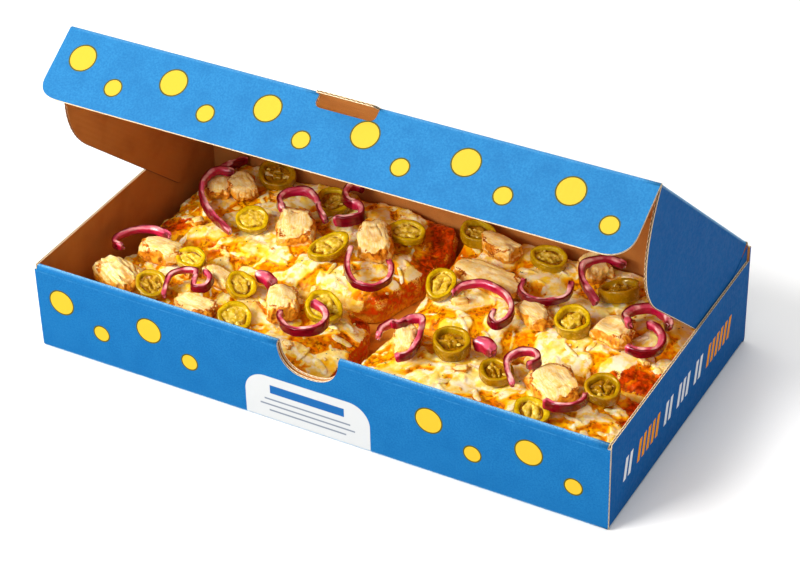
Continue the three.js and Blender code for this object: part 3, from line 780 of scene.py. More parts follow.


# ---- the slices ---------------------------------------------------------------------------

# The corners run front left, front right, back right, back left, and bow is how far the front,
# right, back and left side stand out. cover and patch are the share and size of the melted blobs,
# curd the share of the small strands, rich how oily and golden the top is, lower
# on the back right slice as painted light where the lid shades it, red the sauce on the right side.
SLICES = {
    "back_left": dict(corners=((11, 106), (176, 108), (191, 193), (11, 195)), bow=(8, 3, 1, 1),
                      seed=1.3, cover=0.76, patch=1.2, curd=0.42, rich=1, red=1.0),
    "front_left": dict(corners=((9, 8), (187, 8), (184, 92), (12, 94)), bow=(0, 2, 2, 1),
                       seed=2.1, cover=0.68, patch=1.1, curd=0.33, rich=1.2, red=0.9),
    "back_right": dict(corners=((202, 98.5), (373, 98), (372, 194), (198, 193)), bow=(1, 0.5, 1, 1),
                       seed=3.7, cover=0.95, patch=1.6, curd=0.24, rich=0.68, red=0.5),
    "front_right": dict(corners=((196, 8), (373, 8), (373, 92), (203, 91.5)), bow=(0, 0.5, 1, 1),
                        seed=4.4, cover=0.84, patch=1.4, curd=0.28, rich=0.95, red=0.5),
}
# Bare or sauced places, (x, y, radius, strength). The strong ones at the back right of the back-left slice,
# (184, 185), (189, 176) and (185, 160), are partly painted shade of the lid.
SAUCE = [
    (21, 118, 14, 1.0), (60, 112, 9, 0.6), (176, 112, 11, 0.8), (182, 152, 9, 0.6), (184, 185, 14, 1.0),
    (100, 103, 9, 0.5), (367, 108, 19, 1.0), (369, 84, 12, 0.9), (350, 104, 9, 0.7), (360, 66, 11, 0.6),
    (340, 100, 9, 0.6), (368, 25, 14, 0.8), (300, 104, 8, 0.5), (176, 60, 10, 0.7), (178, 84, 12, 0.8),
    (120, 88, 8, 0.5), (20, 100, 8, 0.6), (245, 160, 9, 0.6), (330, 190, 12, 0.6), (240, 98, 7, 0.4),
    (189, 176, 11, 1.0), (185, 160, 10, 1.0), (345, 20, 9, 0.7), (222, 90, 7, 0.5), (290, 30, 7, 0.4),
    (150, 184, 8, 0.5), (60, 152, 7, 0.4), (262, 40, 6, 0.4),
]
SLICE_BASE, SLICE_RIM, SLICE_TOP = BOARD + 0.3, 21.0, 29.0
SCRAPS = 5


def lumps(seed):
    """A gentle waviness between about -1 and 1."""
    p = [(seed * k * 7.13) % TAU for k in (1.7, 2.9, 4.3, 5.1)]

    def at(x, y):
        wide = 0.45 * np.sin(x / 9.1 + p[0]) * np.cos(y / 8.3 + p[1])
        return wide + 0.35 * np.sin((x + y) / 12.7 + p[2]) + 0.3 * np.cos((x - 1.4 * y) / 7.9 + p[3])

    return at


def draw(seed):
    """Repeatable draws from 0 to 1."""
    state = [int(round(seed * 7919 + 17))]

    def step():
        state[0] = (state[0] * 16807) % 2147483647
        return (state[0] % 10000) / 10000

    return step


def under_flap(y):
    """How high a slice can stand, less at the front, where the tucked flap comes down."""
    return 22.5 + 9 * smooth(19, 31, y)


def on_top(o, a, b):
    """A point of the slice's plain upper face, a and b from -1 to 1."""
    fl, fr, br, bl = o["corners"]
    bow, n = o["bow"], lumps(o["seed"])
    r = np.maximum(np.abs(a), np.abs(b))
    u, v = (a * (1 - 0.045 * b**8) + 1) / 2, (b * (1 - 0.075 * a**10) + 1) / 2
    x, y = ((1 - v) * ((1 - u) * fl[k] + u * fr[k]) + v * ((1 - u) * bl[k] + u * br[k]) for k in (0, 1))
    y = y - (1 - v) * bow[0] * (1 - a * a) - v * bow[2] * (1 - a * a)
    x = x + u * bow[1] * (1 - b * b) - (1 - u) * bow[3] * (1 - b * b)
    x = x + r**6 * 1.2 * n(y * 1.7, x * 0.3)
    y = y + r**6 * n(x * 1.5, y * 0.4 + 30)
    m = 1 - r**5 * (1 - 0.85 * smooth(150, 185, y) * smooth(0.4, 0.95, b))
    z = SLICE_RIM + (SLICE_TOP - SLICE_RIM) * m + (0.7 + 1.9 * m) * n(x, y) + 3.0 * smooth(168, 190, y)
    return x, y, np.minimum(z, under_flap(y))


def blobs(x, y, rng, step, sizes, longs, keep, spots=()):
    """Melted blobs run together: 0 on a blob's edge, more within, less outside."""
    total, sharp = np.full(x.shape, 1e-6), 4.0
    for cx in np.arange(x.min() - 6, x.max() + 6, step):
        for cy in np.arange(y.min() - 6, y.max() + 6, step):
            jx, jy, size, angle, long, chance = rng.random(6)
            px, py = cx + (jx - 0.5) * step * 1.4, cy + (jy - 0.5) * step * 1.4
            bare = sum(k * math.exp(-((px - sx) ** 2 + (py - sy) ** 2) / (0.8 * r) ** 2)
                       for sx, sy, r, k in spots)
            if chance > keep - 0.95 * bare:
                continue
            size = sizes[0] + (sizes[1] - sizes[0]) * size
            long, angle = longs[0] + (longs[1] - longs[0]) * long**2, angle * math.pi
            box = (np.abs(x - px) < 2.2 * size * long) & (np.abs(y - py) < 2.2 * size * long)
            dx, dy = x[box] - px, y[box] - py
            p = (dx * math.cos(angle) + dy * math.sin(angle)) / (size * long)
            q = (dy * math.cos(angle) - dx * math.sin(angle)) / (size / long**0.5)
            total[box] += np.exp(sharp * np.maximum(1 - (p * p + q * q), -3))
    return np.log(total) / sharp


def warped(x, y, wide, fine, seed):
    """Places moved a little by coarse and by fine noise."""
    return [c + wide * noise(x / 7, y / 7, z, seed + k) + fine * noise(x / 2.3, y / 2.3, z, seed + k + 1)
            for c, z, k in ((x, 0.0, 0), (y, 9.5, 2))]


def melt(o, a, c):
    """The slice's top, lumpy melted cheese over sauce: points, and the values that colour them."""
    x, y, z = on_top(o, a, c)
    seed, patch = int(o["seed"] * 10), o["patch"]
    rng = np.random.default_rng(int(o["seed"] * 100))
    sizes = (3.6 * patch, 7.8 * patch)
    field = blobs(*warped(x, y, 3.0, 0.7, 5), rng, 9.6 * patch, sizes, (1.0, 1.9), o["cover"], SAUCE)
    curd = blobs(*warped(x, y, 1.2, 0.5, 15), rng, 6.4, (1.6, 3.1), (1.3, 3.6), o["curd"])
    spot = sum(k * np.exp(-((x - sx) ** 2 + (y - sy) ** 2) / r**2) for sx, sy, r, k in SAUCE)
    fine, grain = fbm(x / 3.1, y / 3.1, 0.0, seed), fbm(x / 2.2, y / 2.2, 0.0, seed + 3)

    strands = 0.9 * smooth(-0.12, 0.14, curd) * (1 - 0.8 * np.clip(spot, 0, 1))
    cheese = np.maximum(smooth(-0.14, 0.12, field), strands)
    cheese = cheese * (1 - 0.9 * smooth(0.55, 0.85, spot + 0.3 * noise(x / 6, y / 6, 4.0, seed + 11)))
    rim = np.exp(-((np.maximum(field, curd - 0.05) + 0.02) / 0.16) ** 2)
    red = np.clip(0.25 + 0.9 * spot + 0.35 * noise(x / 9, y / 9, 3.0, seed), 0, 1)
    # oily pools low between the blobs, made golden; in these low places the golden is also painted shade
    oil = 0.95 * smooth(0.55, -0.1, np.maximum(field, curd - 0.1))
    oil = np.clip(oil + 0.35 * smooth(0.0, 0.7, noise(x / 9, y / 9, 7.0, seed)), 0, 1) * o["rich"]
    brown = noise(x / 5.5, y / 5.5, 2.0, seed + 9) + 0.3 * fine + 0.3 * smooth(0.3, -0.2, field)
    brown = 0.8 * smooth(0.25, 0.8, brown + 0.35 * np.maximum(np.abs(a), np.abs(c)) ** 8)

    z = z - 1.9 + 1.5 * smooth(-0.3, 0.35, field) + 0.9 * smooth(0.3, 1.5, field)
    z = z + 0.75 * smooth(-0.2, 0.5, curd) + 0.2 * fine * cheese + 0.5 * (grain + fine) * (1 - cheese)
    points = np.stack([x, y, np.minimum(z, under_flap(y) + 0.6)], -1)
    return points, dict(cheese=cheese, red=red, oil=oil, brown=brown, rim=rim)


def baked_side(b, o, border, cheese):
    """A slice's side, from its border (x, y, z, a and c of each point) down, and its foot."""
    px, py, pz, pa, pc = border.T[:, :, None]
    seed, run = int(o["seed"] * 10), run_along(border[:, :2])[:, None]
    levels = np.linspace(0, 1, 20)
    # the front side gets more cheese drips and less brown and red: partly cheese, partly painted light
    # where the slice in front shades it
    right, front = smooth(0.72, 0.99, pa) * o["red"], smooth(-0.8, -0.98, pc)
    z = pz + (SLICE_BASE - pz) * levels
    swell = 1.2 * np.sin(math.pi * levels**0.8)
    crag = 0.9 * fbm(run / 5.5, z / 4.2, 0.0, seed + 5, 2) + 0.25 * noise(run / 2.6, z / 2.0, 0.0, seed + 6)
    drip = smooth(0.1, 0.7, noise(run / 7.5, z / 20, 1.0, seed + 8) - 0.9 * levels + 0.25 + 0.65 * front)
    out = swell + (crag + 0.9 * drip) * smooth(0, 0.12, levels) * smooth(1.0, 0.93, levels)
    ring = np.stack([px + out * pa**7, py + out * pc**7, z], -1)

    melted = 0.9 * drip
    melted[:, 0] = cheese
    red = 0.35 * smooth(0.7, 0.0, levels) * (1 - 0.7 * front) + right * smooth(1.0, 0.5, levels)
    red = np.clip(red + 0.2 * noise(run / 7, levels * 3, 2.0, seed), 0, 1)
    brown = (0.55 - 0.45 * front) * smooth(-0.2, 0.7, noise(run / 6, levels * 4, 4.0, seed))
    side = np.broadcast_to(smooth(0.0, 0.18, levels), z.shape)
    b.add(ring, quads(*z.shape, close_u=True), flip=True, cheese=melted * (1 - 0.5 * right), red=red,
          oil=0.4, brown=brown, side=side)
    b.add(ring[:, -1], fill(ring[:, -1]), flip=True, brown=0.4, side=1.0)


def slice_mesh(o):
    b = Build()
    a, c = np.meshgrid(np.linspace(-1, 1, 250), np.linspace(-1, 1, 134), indexing="ij")
    points, values = melt(o, a, c)
    b.add(points, quads(*a.shape), **values)

    def rim_of(grid):
        return np.concatenate([grid[:, 0], grid[-1, 1:], grid[-2::-1, -1], grid[0, -2:0:-1]])

    border = rim_of(np.concatenate([points, a[..., None], c[..., None]], -1))
    baked_side(b, o, border, rim_of(values["cheese"]))
    return b


def pizza_material():
    m = Mat("melted_cheese_and_crust", Specular_IOR_Level=0.3, Specular_Tint=(1.0, 0.7, 0.16, 1.0),
            Subsurface_Weight=0.3, Subsurface_Scale=0.0035, Subsurface_Radius=(1.0, 0.6, 0.12),
            Coat_Weight=0.05, Coat_Roughness=0.10)
    names = ("cheese", "red", "oil", "brown", "side", "rim")
    cheese, red, oil, brown, side, rim = (m.attr(name) for name in names)
    cream = m.mottle(9, 2, 0.36, 0.64, col(254, 234, 142), col(251, 210, 52))
    # paler cream on the blobs' tops: partly the cheese's own colour, partly a painted highlight
    pale = m.mul(m.patches(5, 2, 0.40, 0.64, 0, 0.85), m.range(oil, 0.6, 0.1))
    cream = m.mix(pale, cream, col(255, 249, 222))
    # golden and orange where oily, which in the low places is partly painted shade
    runny = m.jitter(oil, 3.4, 0.7)
    cream = m.mix(m.range(runny, 0.20, 0.54, 0, 0.9), cream, col(253, 198, 6))
    cream = m.mix(m.range(runny, 0.5, 1.0, 0, 0.9), cream, col(240, 142, 4))
    spots = m.mul(brown, m.patches(1.3, 4, 0.5, 0.66, 0, 0.8))
    cream = m.mix(spots, cream, col(214, 122, 6))
    deep = m.mottle(3.2, 3, 0.34, 0.60, col(126, 18, 0), col(212, 66, 2))
    sauce = m.mottle(4.2, 3, 0.40, 0.60, col(232, 124, 0), col(252, 184, 8))
    sauce = m.mix(m.range(red, 0.45, 1.05), sauce, deep)
    sauce = m.mix(m.mul(brown, m.patches(2.6, 3, 0.46, 0.60)), sauce, col(126, 50, 0))
    crust = m.mottle(4, 3, 0.36, 0.64, col(250, 186, 44), col(222, 130, 10))
    crust = m.mix(m.mul(brown, m.patches(2, 3, 0.4, 0.7)), crust, col(136, 60, 4))
    crust = m.mix(m.mul(red, m.patches(3.2, 4, 0.25, 0.6)), crust, deep)
    colour = m.mix(m.range(m.jitter(cheese, 0.9, 0.6), 0.36, 0.58), m.mix(side, sauce, crust), cream)
    burnt = m.mul(rim, m.patches(4.5, 3, 0.38, 0.60, 0.15, 1.0))
    scorch = m.mottle(2.8, 3, 0.44, 0.64, col(232, 130, 4), col(138, 44, 0))
    m.set("Base Color", m.mix(burnt, colour, scorch))
    m.set("Roughness", m.patches(3, 3, 0.35, 0.7, 0.24, 0.44))
    m.bump(m.noise(3.0, 2), 0.3, 0.35)
    m.bump(m.noise(0.7, 2), 0.06, 0.2)
    return m.mat


# ---- the toppings -------------------------------------------------------------------------

VIEW = -62  # the compass angle of most leans, about towards the front


def posed(points, o):
    """A topping's own points turned by yaw, leant towards a compass angle and put in place."""
    t = rad(o.get("toward", VIEW))
    lean = spin(rad(o.get("lean", 0)), Vector((-math.sin(t), math.cos(t), 0)))
    return points @ (lean @ spin(rad(o.get("yaw", 0)))).T + np.array(o["at"], float)


# at is the middle of a piece. yaw turns it, and lean tips it towards VIEW or its own toward. torn
# and soft change the meat's fibres; tone is how far a pepper ring has turned amber and, for rings
# under the lid, painted shade; h its height, oval its width for its length. An onion strip follows its
# path.
CHICKEN = [
    dict(at=(28, 162, 31), size=(26, 17, 9), yaw=120, seed=3),
    dict(at=(44, 166, 33), size=(27, 17, 10), yaw=-38, seed=4),
    dict(at=(100, 140, 34), size=(31, 23, 13), yaw=-62, lean=12, seed=5),
    dict(at=(152, 148, 35), size=(32, 21, 13), yaw=-55, lean=14, seed=6),
    dict(at=(29, 44, 33), size=(38, 22, 17), yaw=-28, seed=7, torn=1.0),
    dict(at=(38, 79, 34), size=(29, 18, 12), yaw=-4, seed=8),
    dict(at=(86, 72, 33), size=(26, 13, 9), yaw=-22, seed=9),
    dict(at=(88, 40, 32), size=(28, 15, 11), yaw=-6, seed=10),
    dict(at=(135, 65, 35), size=(28, 20, 14), yaw=-62, seed=11),
    dict(at=(226, 178, 34), size=(30, 15, 12), yaw=-12, seed=12),
    dict(at=(232, 149, 31), size=(51, 22, 8), yaw=-12, seed=13, soft=1.0),
    dict(at=(274, 126, 32), size=(27, 16, 9), yaw=-32, seed=14),
    dict(at=(325, 131, 33), size=(25, 22, 12), yaw=-10, seed=15),
    dict(at=(287, 184, 34), size=(24, 17, 14), yaw=-32, seed=16),
    dict(at=(317, 66, 34), size=(37, 29, 12), yaw=-40, seed=17),
    dict(at=(220, 65, 35), size=(26, 14, 11), yaw=118, seed=18),
]
PEPPER = [
    dict(at=(59, 185, 35.5), r=12.5, tone=0.9, h=6, lean=18),
    dict(at=(107, 175, 34.5), r=12, tone=0.5, h=5, lean=12),
    dict(at=(72, 133, 35), r=10.8, tone=0, h=5, lean=24),
    dict(at=(60, 79, 34.5), r=9.6, tone=0.1, h=5, lean=16),
    dict(at=(54, 43, 36), r=10.2, tone=0.6, h=5, lean=26),
    dict(at=(103, 68, 35), r=9.8, tone=0.2, h=5.5, lean=38, toward=-25),
    dict(at=(130, 129, 34.5), r=14.2, tone=0.1, h=5.5, oval=0.62, yaw=64, lean=12),
    dict(at=(160, 71, 35), r=12, tone=0.1, h=5.5, lean=24, toward=-40),
    dict(at=(116, 40, 33.5), r=10.8, tone=0.1, h=5, lean=28, toward=-40),
    dict(at=(166, 166, 34), r=12, tone=0.2, h=5, oval=0.86, lean=6),
    dict(at=(211, 126, 34), r=11.4, tone=0, h=5, oval=0.8, yaw=100, lean=22),
    dict(at=(246, 73, 35.5), r=11.6, tone=0.75, h=9.5, lean=14),
    dict(at=(281, 62, 34), r=10.2, tone=0.75, h=6, lean=10),
    dict(at=(207, 184, 34.5), r=12, tone=0.6, h=8, oval=0.8, lean=8),
    dict(at=(301, 125, 35.5), r=11.4, tone=0.4, h=10, lean=18, toward=-85),
    dict(at=(344, 74, 35), r=10.4, tone=0.75, h=9, lean=22, toward=-75),
    dict(at=(258, 181, 33.5), r=12, tone=0.5, h=6, oval=0.82, lean=8),
    dict(at=(312, 168, 34.5), r=13, tone=0.9, h=8, oval=0.84, yaw=30, lean=16, toward=150),
    dict(at=(316, 37, 34.5), r=10.5, tone=0.3, h=5, lean=24, toward=-50),
]
ONION = [
    dict(path=((30, 194, 34), (28, 186, 35.5), (24, 178, 35.5), (20, 169, 33)), thick=3, tall=4.6),
    dict(path=((34, 172, 37), (25, 168, 39), (22, 157, 38), (26, 145, 36), (37, 133, 35),
               (51, 123, 35), (66, 116, 34)), tall=4.8),
    dict(path=((88, 144, 41), (81, 152, 42), (82, 162, 42), (91, 168, 42), (101, 164, 41),
               (109, 155, 40), (117, 149, 38)), tall=5),
    dict(path=((120, 193, 38), (113, 189, 40), (114, 178, 41), (121, 170, 42), (131, 168, 42),
               (136, 160, 41), (129, 153, 40), (121, 152, 38)), thick=3, tall=6),
    dict(path=((146, 130, 39), (149, 119, 37), (156, 108, 36), (166, 101, 35.5), (177, 102, 36),
               (182, 111, 37), (179, 122, 38), (173, 129, 37)), tall=4.6),
    dict(path=((21, 62, 42), (13, 65, 40.5), (10, 74, 39), (15, 85, 38.5), (26, 90, 39), (39, 88, 39)),
         tall=5),
    dict(path=((68, 36, 36), (63, 46, 37), (61, 55, 38), (66, 63, 38), (73, 65, 38), (76, 58, 37),
               (80, 51, 37), (87, 53, 38), (86, 61, 39.5), (79, 64.5, 41)), thick=2.3, tall=4),
    dict(path=((106, 83, 34), (113, 82, 35), (121, 78, 34)), thick=4.4, tall=7),
    dict(path=((143, 50, 40), (146, 43, 40), (155, 37, 40), (165, 37, 41), (172, 44, 41),
               (172, 54, 41), (166, 61, 41.5), (156, 64, 42)), tall=4.6),
    dict(path=((224, 117, 36), (226, 124, 38), (235, 131, 39), (246, 131, 39), (256, 127, 38),
               (263, 119, 37), (265, 109, 36), (261, 101, 36), (256, 104, 37), (255, 112, 38)),
         thick=2.4, tall=4.4),
    dict(path=((257, 148, 38), (259, 138, 37), (267, 134, 36), (279, 137, 36), (287, 144, 37.5),
               (285, 157, 39)), tall=4.6),
    dict(path=((306, 190, 38), (295, 188, 40), (287, 178, 42), (285, 172, 42), (289, 163, 39),
               (297, 156, 37), (305, 150, 35)), thick=2.8, tall=5.2),
    dict(path=((335, 131, 41), (328, 139, 39), (330, 150, 38), (339, 156, 38), (349, 152, 38),
               (355, 144, 37)), thick=3.2, tall=6),
    dict(path=((342, 142, 37), (350, 138, 38), (357, 129, 38), (357, 119, 37), (349, 114, 37),
               (340, 114, 37)), thick=3.2, tall=5.6),
    dict(path=((205, 58, 36), (203, 65, 37), (207, 71, 38.5), (213, 69, 41), (217, 77, 41.5),
               (222, 80, 41), (227, 71, 41), (231, 58, 40), (230, 49, 38), (224, 44, 37)), tall=4.8),
    dict(path=((257, 83, 33), (264, 82, 34), (271, 79, 33)), thick=5, tall=8),
    dict(path=((297, 52, 36.5), (291, 58, 39.5), (287, 65, 42), (290, 76, 42.5), (298, 79, 42.5),
               (303, 73, 42.5), (299, 66, 42)), thick=2.4, tall=5),
    dict(path=((321, 43, 39), (329, 41, 40.5), (337, 44, 41), (341, 53, 40), (340, 60, 39)), tall=5.4),
]


def torn_faces(body, rng):
    """Presses six flat faces into a lump of meat, four round it and two on top."""
    for i in range(6):
        turn, rise = rng.random() * TAU, rng.uniform(0.9, 1.5) if i > 3 else rng.uniform(-0.1, 0.5)
        level = math.cos(rise)
        face = np.array([math.cos(turn) * level, math.sin(turn) * level, math.sin(rise)])
        reach = body @ face
        over = np.maximum(reach - reach.max() * rng.uniform(0.80, 0.94), 0)
        body = body - (over * 0.93)[:, None] * face
    return body


def chicken_mesh(o):
    """A torn block of cooked breast: flat torn faces, fibres along its length, a crumbly browned rim."""
    size, seed = np.array(o["size"], float), o["seed"]
    torn, soft = o.get("torn", 0.0), o.get("soft", 0.0)
    p, faces = cube_sphere(o.get("n", 32))
    a, c, e = (np.sign(p) * np.abs(p) ** 0.62).T
    n = lumps(seed + 3)
    k = 1.03 + 0.12 * n(a * 17, c * 15 + e * 11) + 0.20 * noise(a * 2.3, c * 2.3, e * 0.8, seed + 11)
    k = k + 0.09 * noise(a * 6, c * 6, e * 2, seed + 12)
    x = a * size[0] / 2 * k * (1 - 0.12 * c * (1 if seed % 2 else -1))
    y = c * size[1] / 2 * k
    z = e * size[2] / 2 * (1 + 0.1 * n(a * 12 + 5, c * 9) + 0.14 * noise(a * 2, c * 2, 0.0, seed + 13))
    x, y, z = torn_faces(np.stack([x, y, z], 1), np.random.default_rng(900 + seed)).T

    def rough(width, k):
        return noise(x / width, y / width, z / width, seed + k)

    # fibres: coarse and fine strands, which stand out at the ends
    wave = 1.6 * rough(9, 0)
    strand = noise((y + wave) / 1.7, (z + wave) / 2.6, x / 14, seed + 1) * (1 - soft)
    hair = noise((y + wave) / 0.8, (z + wave) / 1.1, x / 8, seed + 2) * (1 - soft)
    low = smooth(0.10, -0.35, e + 0.6 * rough(7, 6) + 0.2 * rough(2, 9))
    ends = smooth(0.6, 0.98, np.abs(a))
    x = x - np.sign(a) * ends * (0.5 + (0.9 + 1.6 * torn) * strand + (0.5 + torn) * hair)
    crumb = fbm(x / 1.5, y / 1.5, z / 1.5, seed + 8)
    # a few thin tears in the upper side
    across = x / 7.5 + 0.8 * noise(x / 3, y / 3, 0.0, seed + 21)
    along = y / 5 + 0.8 * noise(x / 3, y / 3, 4.0, seed + 22)
    tear = np.exp(-((noise(across, along, 0.0, seed + 20) / 0.055) ** 2)) * smooth(0.2, 0.7, e)
    tear = tear * smooth(0.1, 0.5, noise(x / 9, y / 9, 2.0, seed + 23) + 0.25 * torn)
    relief = (0.2 + 0.45 * torn) * (0.4 + torn) * strand + (0.08 + 0.3 * torn) * hair + 0.45 * rough(4, 5)
    relief = relief + 0.5 * low * crumb + 0.12 * crumb * (1 - low) - 1.3 * tear
    points = np.stack([x, y, z], 1) + relief[:, None] * unit(p / np.maximum(size, 6))
    # browned rim, and a seared line round the block
    out = np.maximum(np.abs(c), np.abs(a)) + 0.12 * rough(3, 15)
    rim = smooth(0.74, 0.90, out) * smooth(-0.35, 0.05, rough(9, 7)) * smooth(-0.3, 0.1, e)
    turned = np.hypot(a, c) + 0.10 * rough(2.5, 16) + 0.12 * rough(6, 17)
    sear = np.exp(-(((turned - 0.93) / 0.09) ** 2)) * smooth(-0.6, -0.1, e)
    sear = sear * smooth(-0.15, 0.25, rough(8, 18) + 0.1)
    # painted shade: the grooves between fibres and the tears are coloured darker, and the tears browner
    groove = smooth(0.0, -0.6, strand + 0.6 * hair) * (0.3 + 0.7 * torn)
    grain = np.stack([x, y + 2.4 * rough(9, 31), z + 1.5 * rough(7, 32)], 1)
    b = Build()
    b.add(posed(points, o), faces, brown=np.clip(0.9 * low + 0.95 * rim + 0.5 * tear, 0, 1), sear=sear,
          groove=np.clip(groove + tear, 0, 1), grain=(1 - 0.7 * soft) * grain,
          tint=smooth(0.5, 1.0, out + 0.35 * rough(5, 14)) * smooth(1.1, 0.3, e))
    return b


def chicken_material():
    m = Mat("roast_chicken", Specular_IOR_Level=0.3, Specular_Tint=(1.0, 0.8, 0.45, 1.0),
            Subsurface_Weight=0.25, Subsurface_Scale=0.003, Subsurface_Radius=(1.0, 0.65, 0.25))
    fibres = m.streaks("grain", (0.12, 1.3, 1.3), 4)
    meat = m.mix(m.range(fibres, 0.35, 0.65), col(255, 242, 190), col(251, 222, 132))
    meat = m.mottle(3.6, 3, 0.48, 0.68, meat, col(248, 206, 92), 0.75)
    meat = m.mottle(1.2, 3, 0.62, 0.74, meat, col(228, 166, 50), 0.6)
    # painted shade in the fibres' grooves and the tears; crumbs take a fixed share of this darker colour
    meat = m.mix(m.mul(m.attr("groove"), 0.8), meat, col(206, 140, 44))
    meat = m.mix(m.mul(m.attr("tint"), m.patches(1.8, 3, 0.3, 0.62, 0.2, 0.9)), meat, col(240, 176, 56))
    roast = m.mottle(4.5, 3, 0.38, 0.62, col(242, 172, 46), col(208, 122, 16))
    roast = m.mottle(3.6, 3, 0.52, 0.70, roast, col(134, 60, 4), 0.65)
    colour = m.mix(m.range(m.jitter(m.attr("brown"), 2.4, 0.9), 0.36, 0.74), meat, roast)
    dark = m.mottle(2.5, 3, 0.4, 0.62, col(206, 116, 16), col(142, 64, 6))
    seared = m.range(m.mul(m.attr("sear"), m.patches(1.3, 3, 0.3, 0.55)), 0.25, 0.65)
    m.set("Base Color", m.mix(seared, colour, dark))
    m.set("Roughness", m.patches(2, 2, 0.3, 0.7, 0.36, 0.56))
    m.bump(fibres, 0.10, 0.4)
    m.bump(m.noise(1.2, 4), 0.18, 0.5)
    return m.mat


def pepper_mesh(o, index):
    """A cut ring: rounded skin, wall, a core held by webs over hollows painted dark as shade, and seeds."""
    rng, tone = np.random.default_rng(300 + index), o["tone"]
    r, h, oval, seed = o["r"], o["h"], o.get("oval", 0.9), index + 1
    theta = np.linspace(0, TAU, 84, endpoint=False)
    webs = int(rng.integers(2, 4))
    angles = np.sort(rng.random() * TAU + np.arange(webs) / webs * TAU + rng.uniform(-0.3, 0.3, webs))
    wall = (2.7 + 0.35 * np.sin(2 * theta + seed) + 0.25 * np.sin(5 * theta + 2 * seed)) / r
    lean = 0.03 * r * np.sin(2 * theta + seed)
    k = 1 + 0.035 * np.sin(3 * theta + seed) + 0.025 * np.sin(2 * theta + seed * 2)
    k = k + 0.012 * np.sin(7 * theta + seed)
    cx, cy = rng.uniform(-0.08, 0.08, 2)  # the core sits a little off the middle

    def inside(rho, low, high):
        """Height of the face at a share rho of the radius, and how hollow it is there."""
        x, y = rho * np.cos(theta) - cx, rho * np.sin(theta) - cy
        d, a = np.hypot(x, y), np.arctan2(y, x)
        edge = d + 0.10 * np.sin(2 * a + seed) + 0.05 * np.sin(5 * a + 2 * seed)
        solid = smooth(0.74 - 0.40 * tone, 0.56 - 0.34 * tone, edge + 0.05 * noise(x * 7, y * 7, 3.0, seed))
        for w in angles:
            off = np.abs((a - w + math.pi) % TAU - math.pi)
            web = np.exp(-((d * np.sin(np.minimum(off, math.pi / 2)) / 0.20) ** 2)) * (off < 1.3)
            solid = np.maximum(solid, 0.9 * web)
        split = np.exp(-(((np.sin(a - angles[0]) * d) / 0.07) ** 2)) * smooth(0.5, 0.2, d) * (seed % 3 > 0)
        solid = solid * (1 - 0.8 * split)
        return h * (low + (high - low) * solid) + 0.3 * noise(x * 6, y * 6, 0.0, seed), 1 - solid

    def cut_face(up, low, high):
        """One face's rings from the middle out, each (share of the radius, height, hollow, skin)."""
        rings, inner = [], 1 - wall
        for f in np.linspace(0.02, 1, 18):
            z, dark = inside(f * inner, low, high)
            keep = 1 - smooth(0.86, 1.0, f)
            rings.append((f * inner, up * (z * keep + 0.42 * h * (1 - keep)), dark * keep, -0.5 * keep))
        # the wall's cut face, a little crowned, then the rounded skin
        for f, level in ((0.15, 0.47), (0.45, 0.5), (0.75, 0.485), (0.93, 0.455), (1.0, 0.40)):
            rings.append((inner + wall * f, up * h * level, 0.0, 0.15 if f < 0.9 else 0.6))
        return rings

    around = [(1.0 + 0.012 * (1 - abs(level) * 3), h * level, 0.0, 1.0) for level in (0.2, 0.0, -0.2)]
    rings = cut_face(1, -0.16, 0.34) + around + cut_face(-1, -0.14, 0.26)[::-1]
    rho, z, hollow, skin = (np.stack([np.broadcast_to(value, theta.shape) for value in column])
                            for column in zip(*rings))
    points = np.stack([np.cos(theta) * rho * r * k, np.sin(theta) * rho * r * k * oval, z + lean], -1)
    points = posed(points, o)
    b = Build()
    b.add(points, quads(*rho.shape, close_v=True), flip=True, hollow=hollow, skin=skin, tone=tone)
    b.cap(points[0], hollow=0.2, skin=-0.5, tone=tone)
    b.cap(points[-1], flip=True, hollow=0.2, skin=-0.5, tone=tone)
    p, faces = cube_sphere(5)
    for _ in range(int(rng.integers(1, 4))):
        t, rho = rng.random() * TAU, rng.uniform(0.4, 0.6)
        pip = p * np.array([1.5, 1.15, 0.55]) * rng.uniform(0.8, 1.15)
        pip[:, 0] *= 1 + 0.25 * p[:, 0]
        turn = spin(rng.random() * TAU) @ spin(rng.uniform(-0.7, 0.7), "X")
        place = np.array([rho * r * math.cos(t), rho * r * oval * math.sin(t), h * rng.uniform(0.02, 0.24)])
        b.add(posed(pip @ turn.T + place, o), faces, 1)
    return b


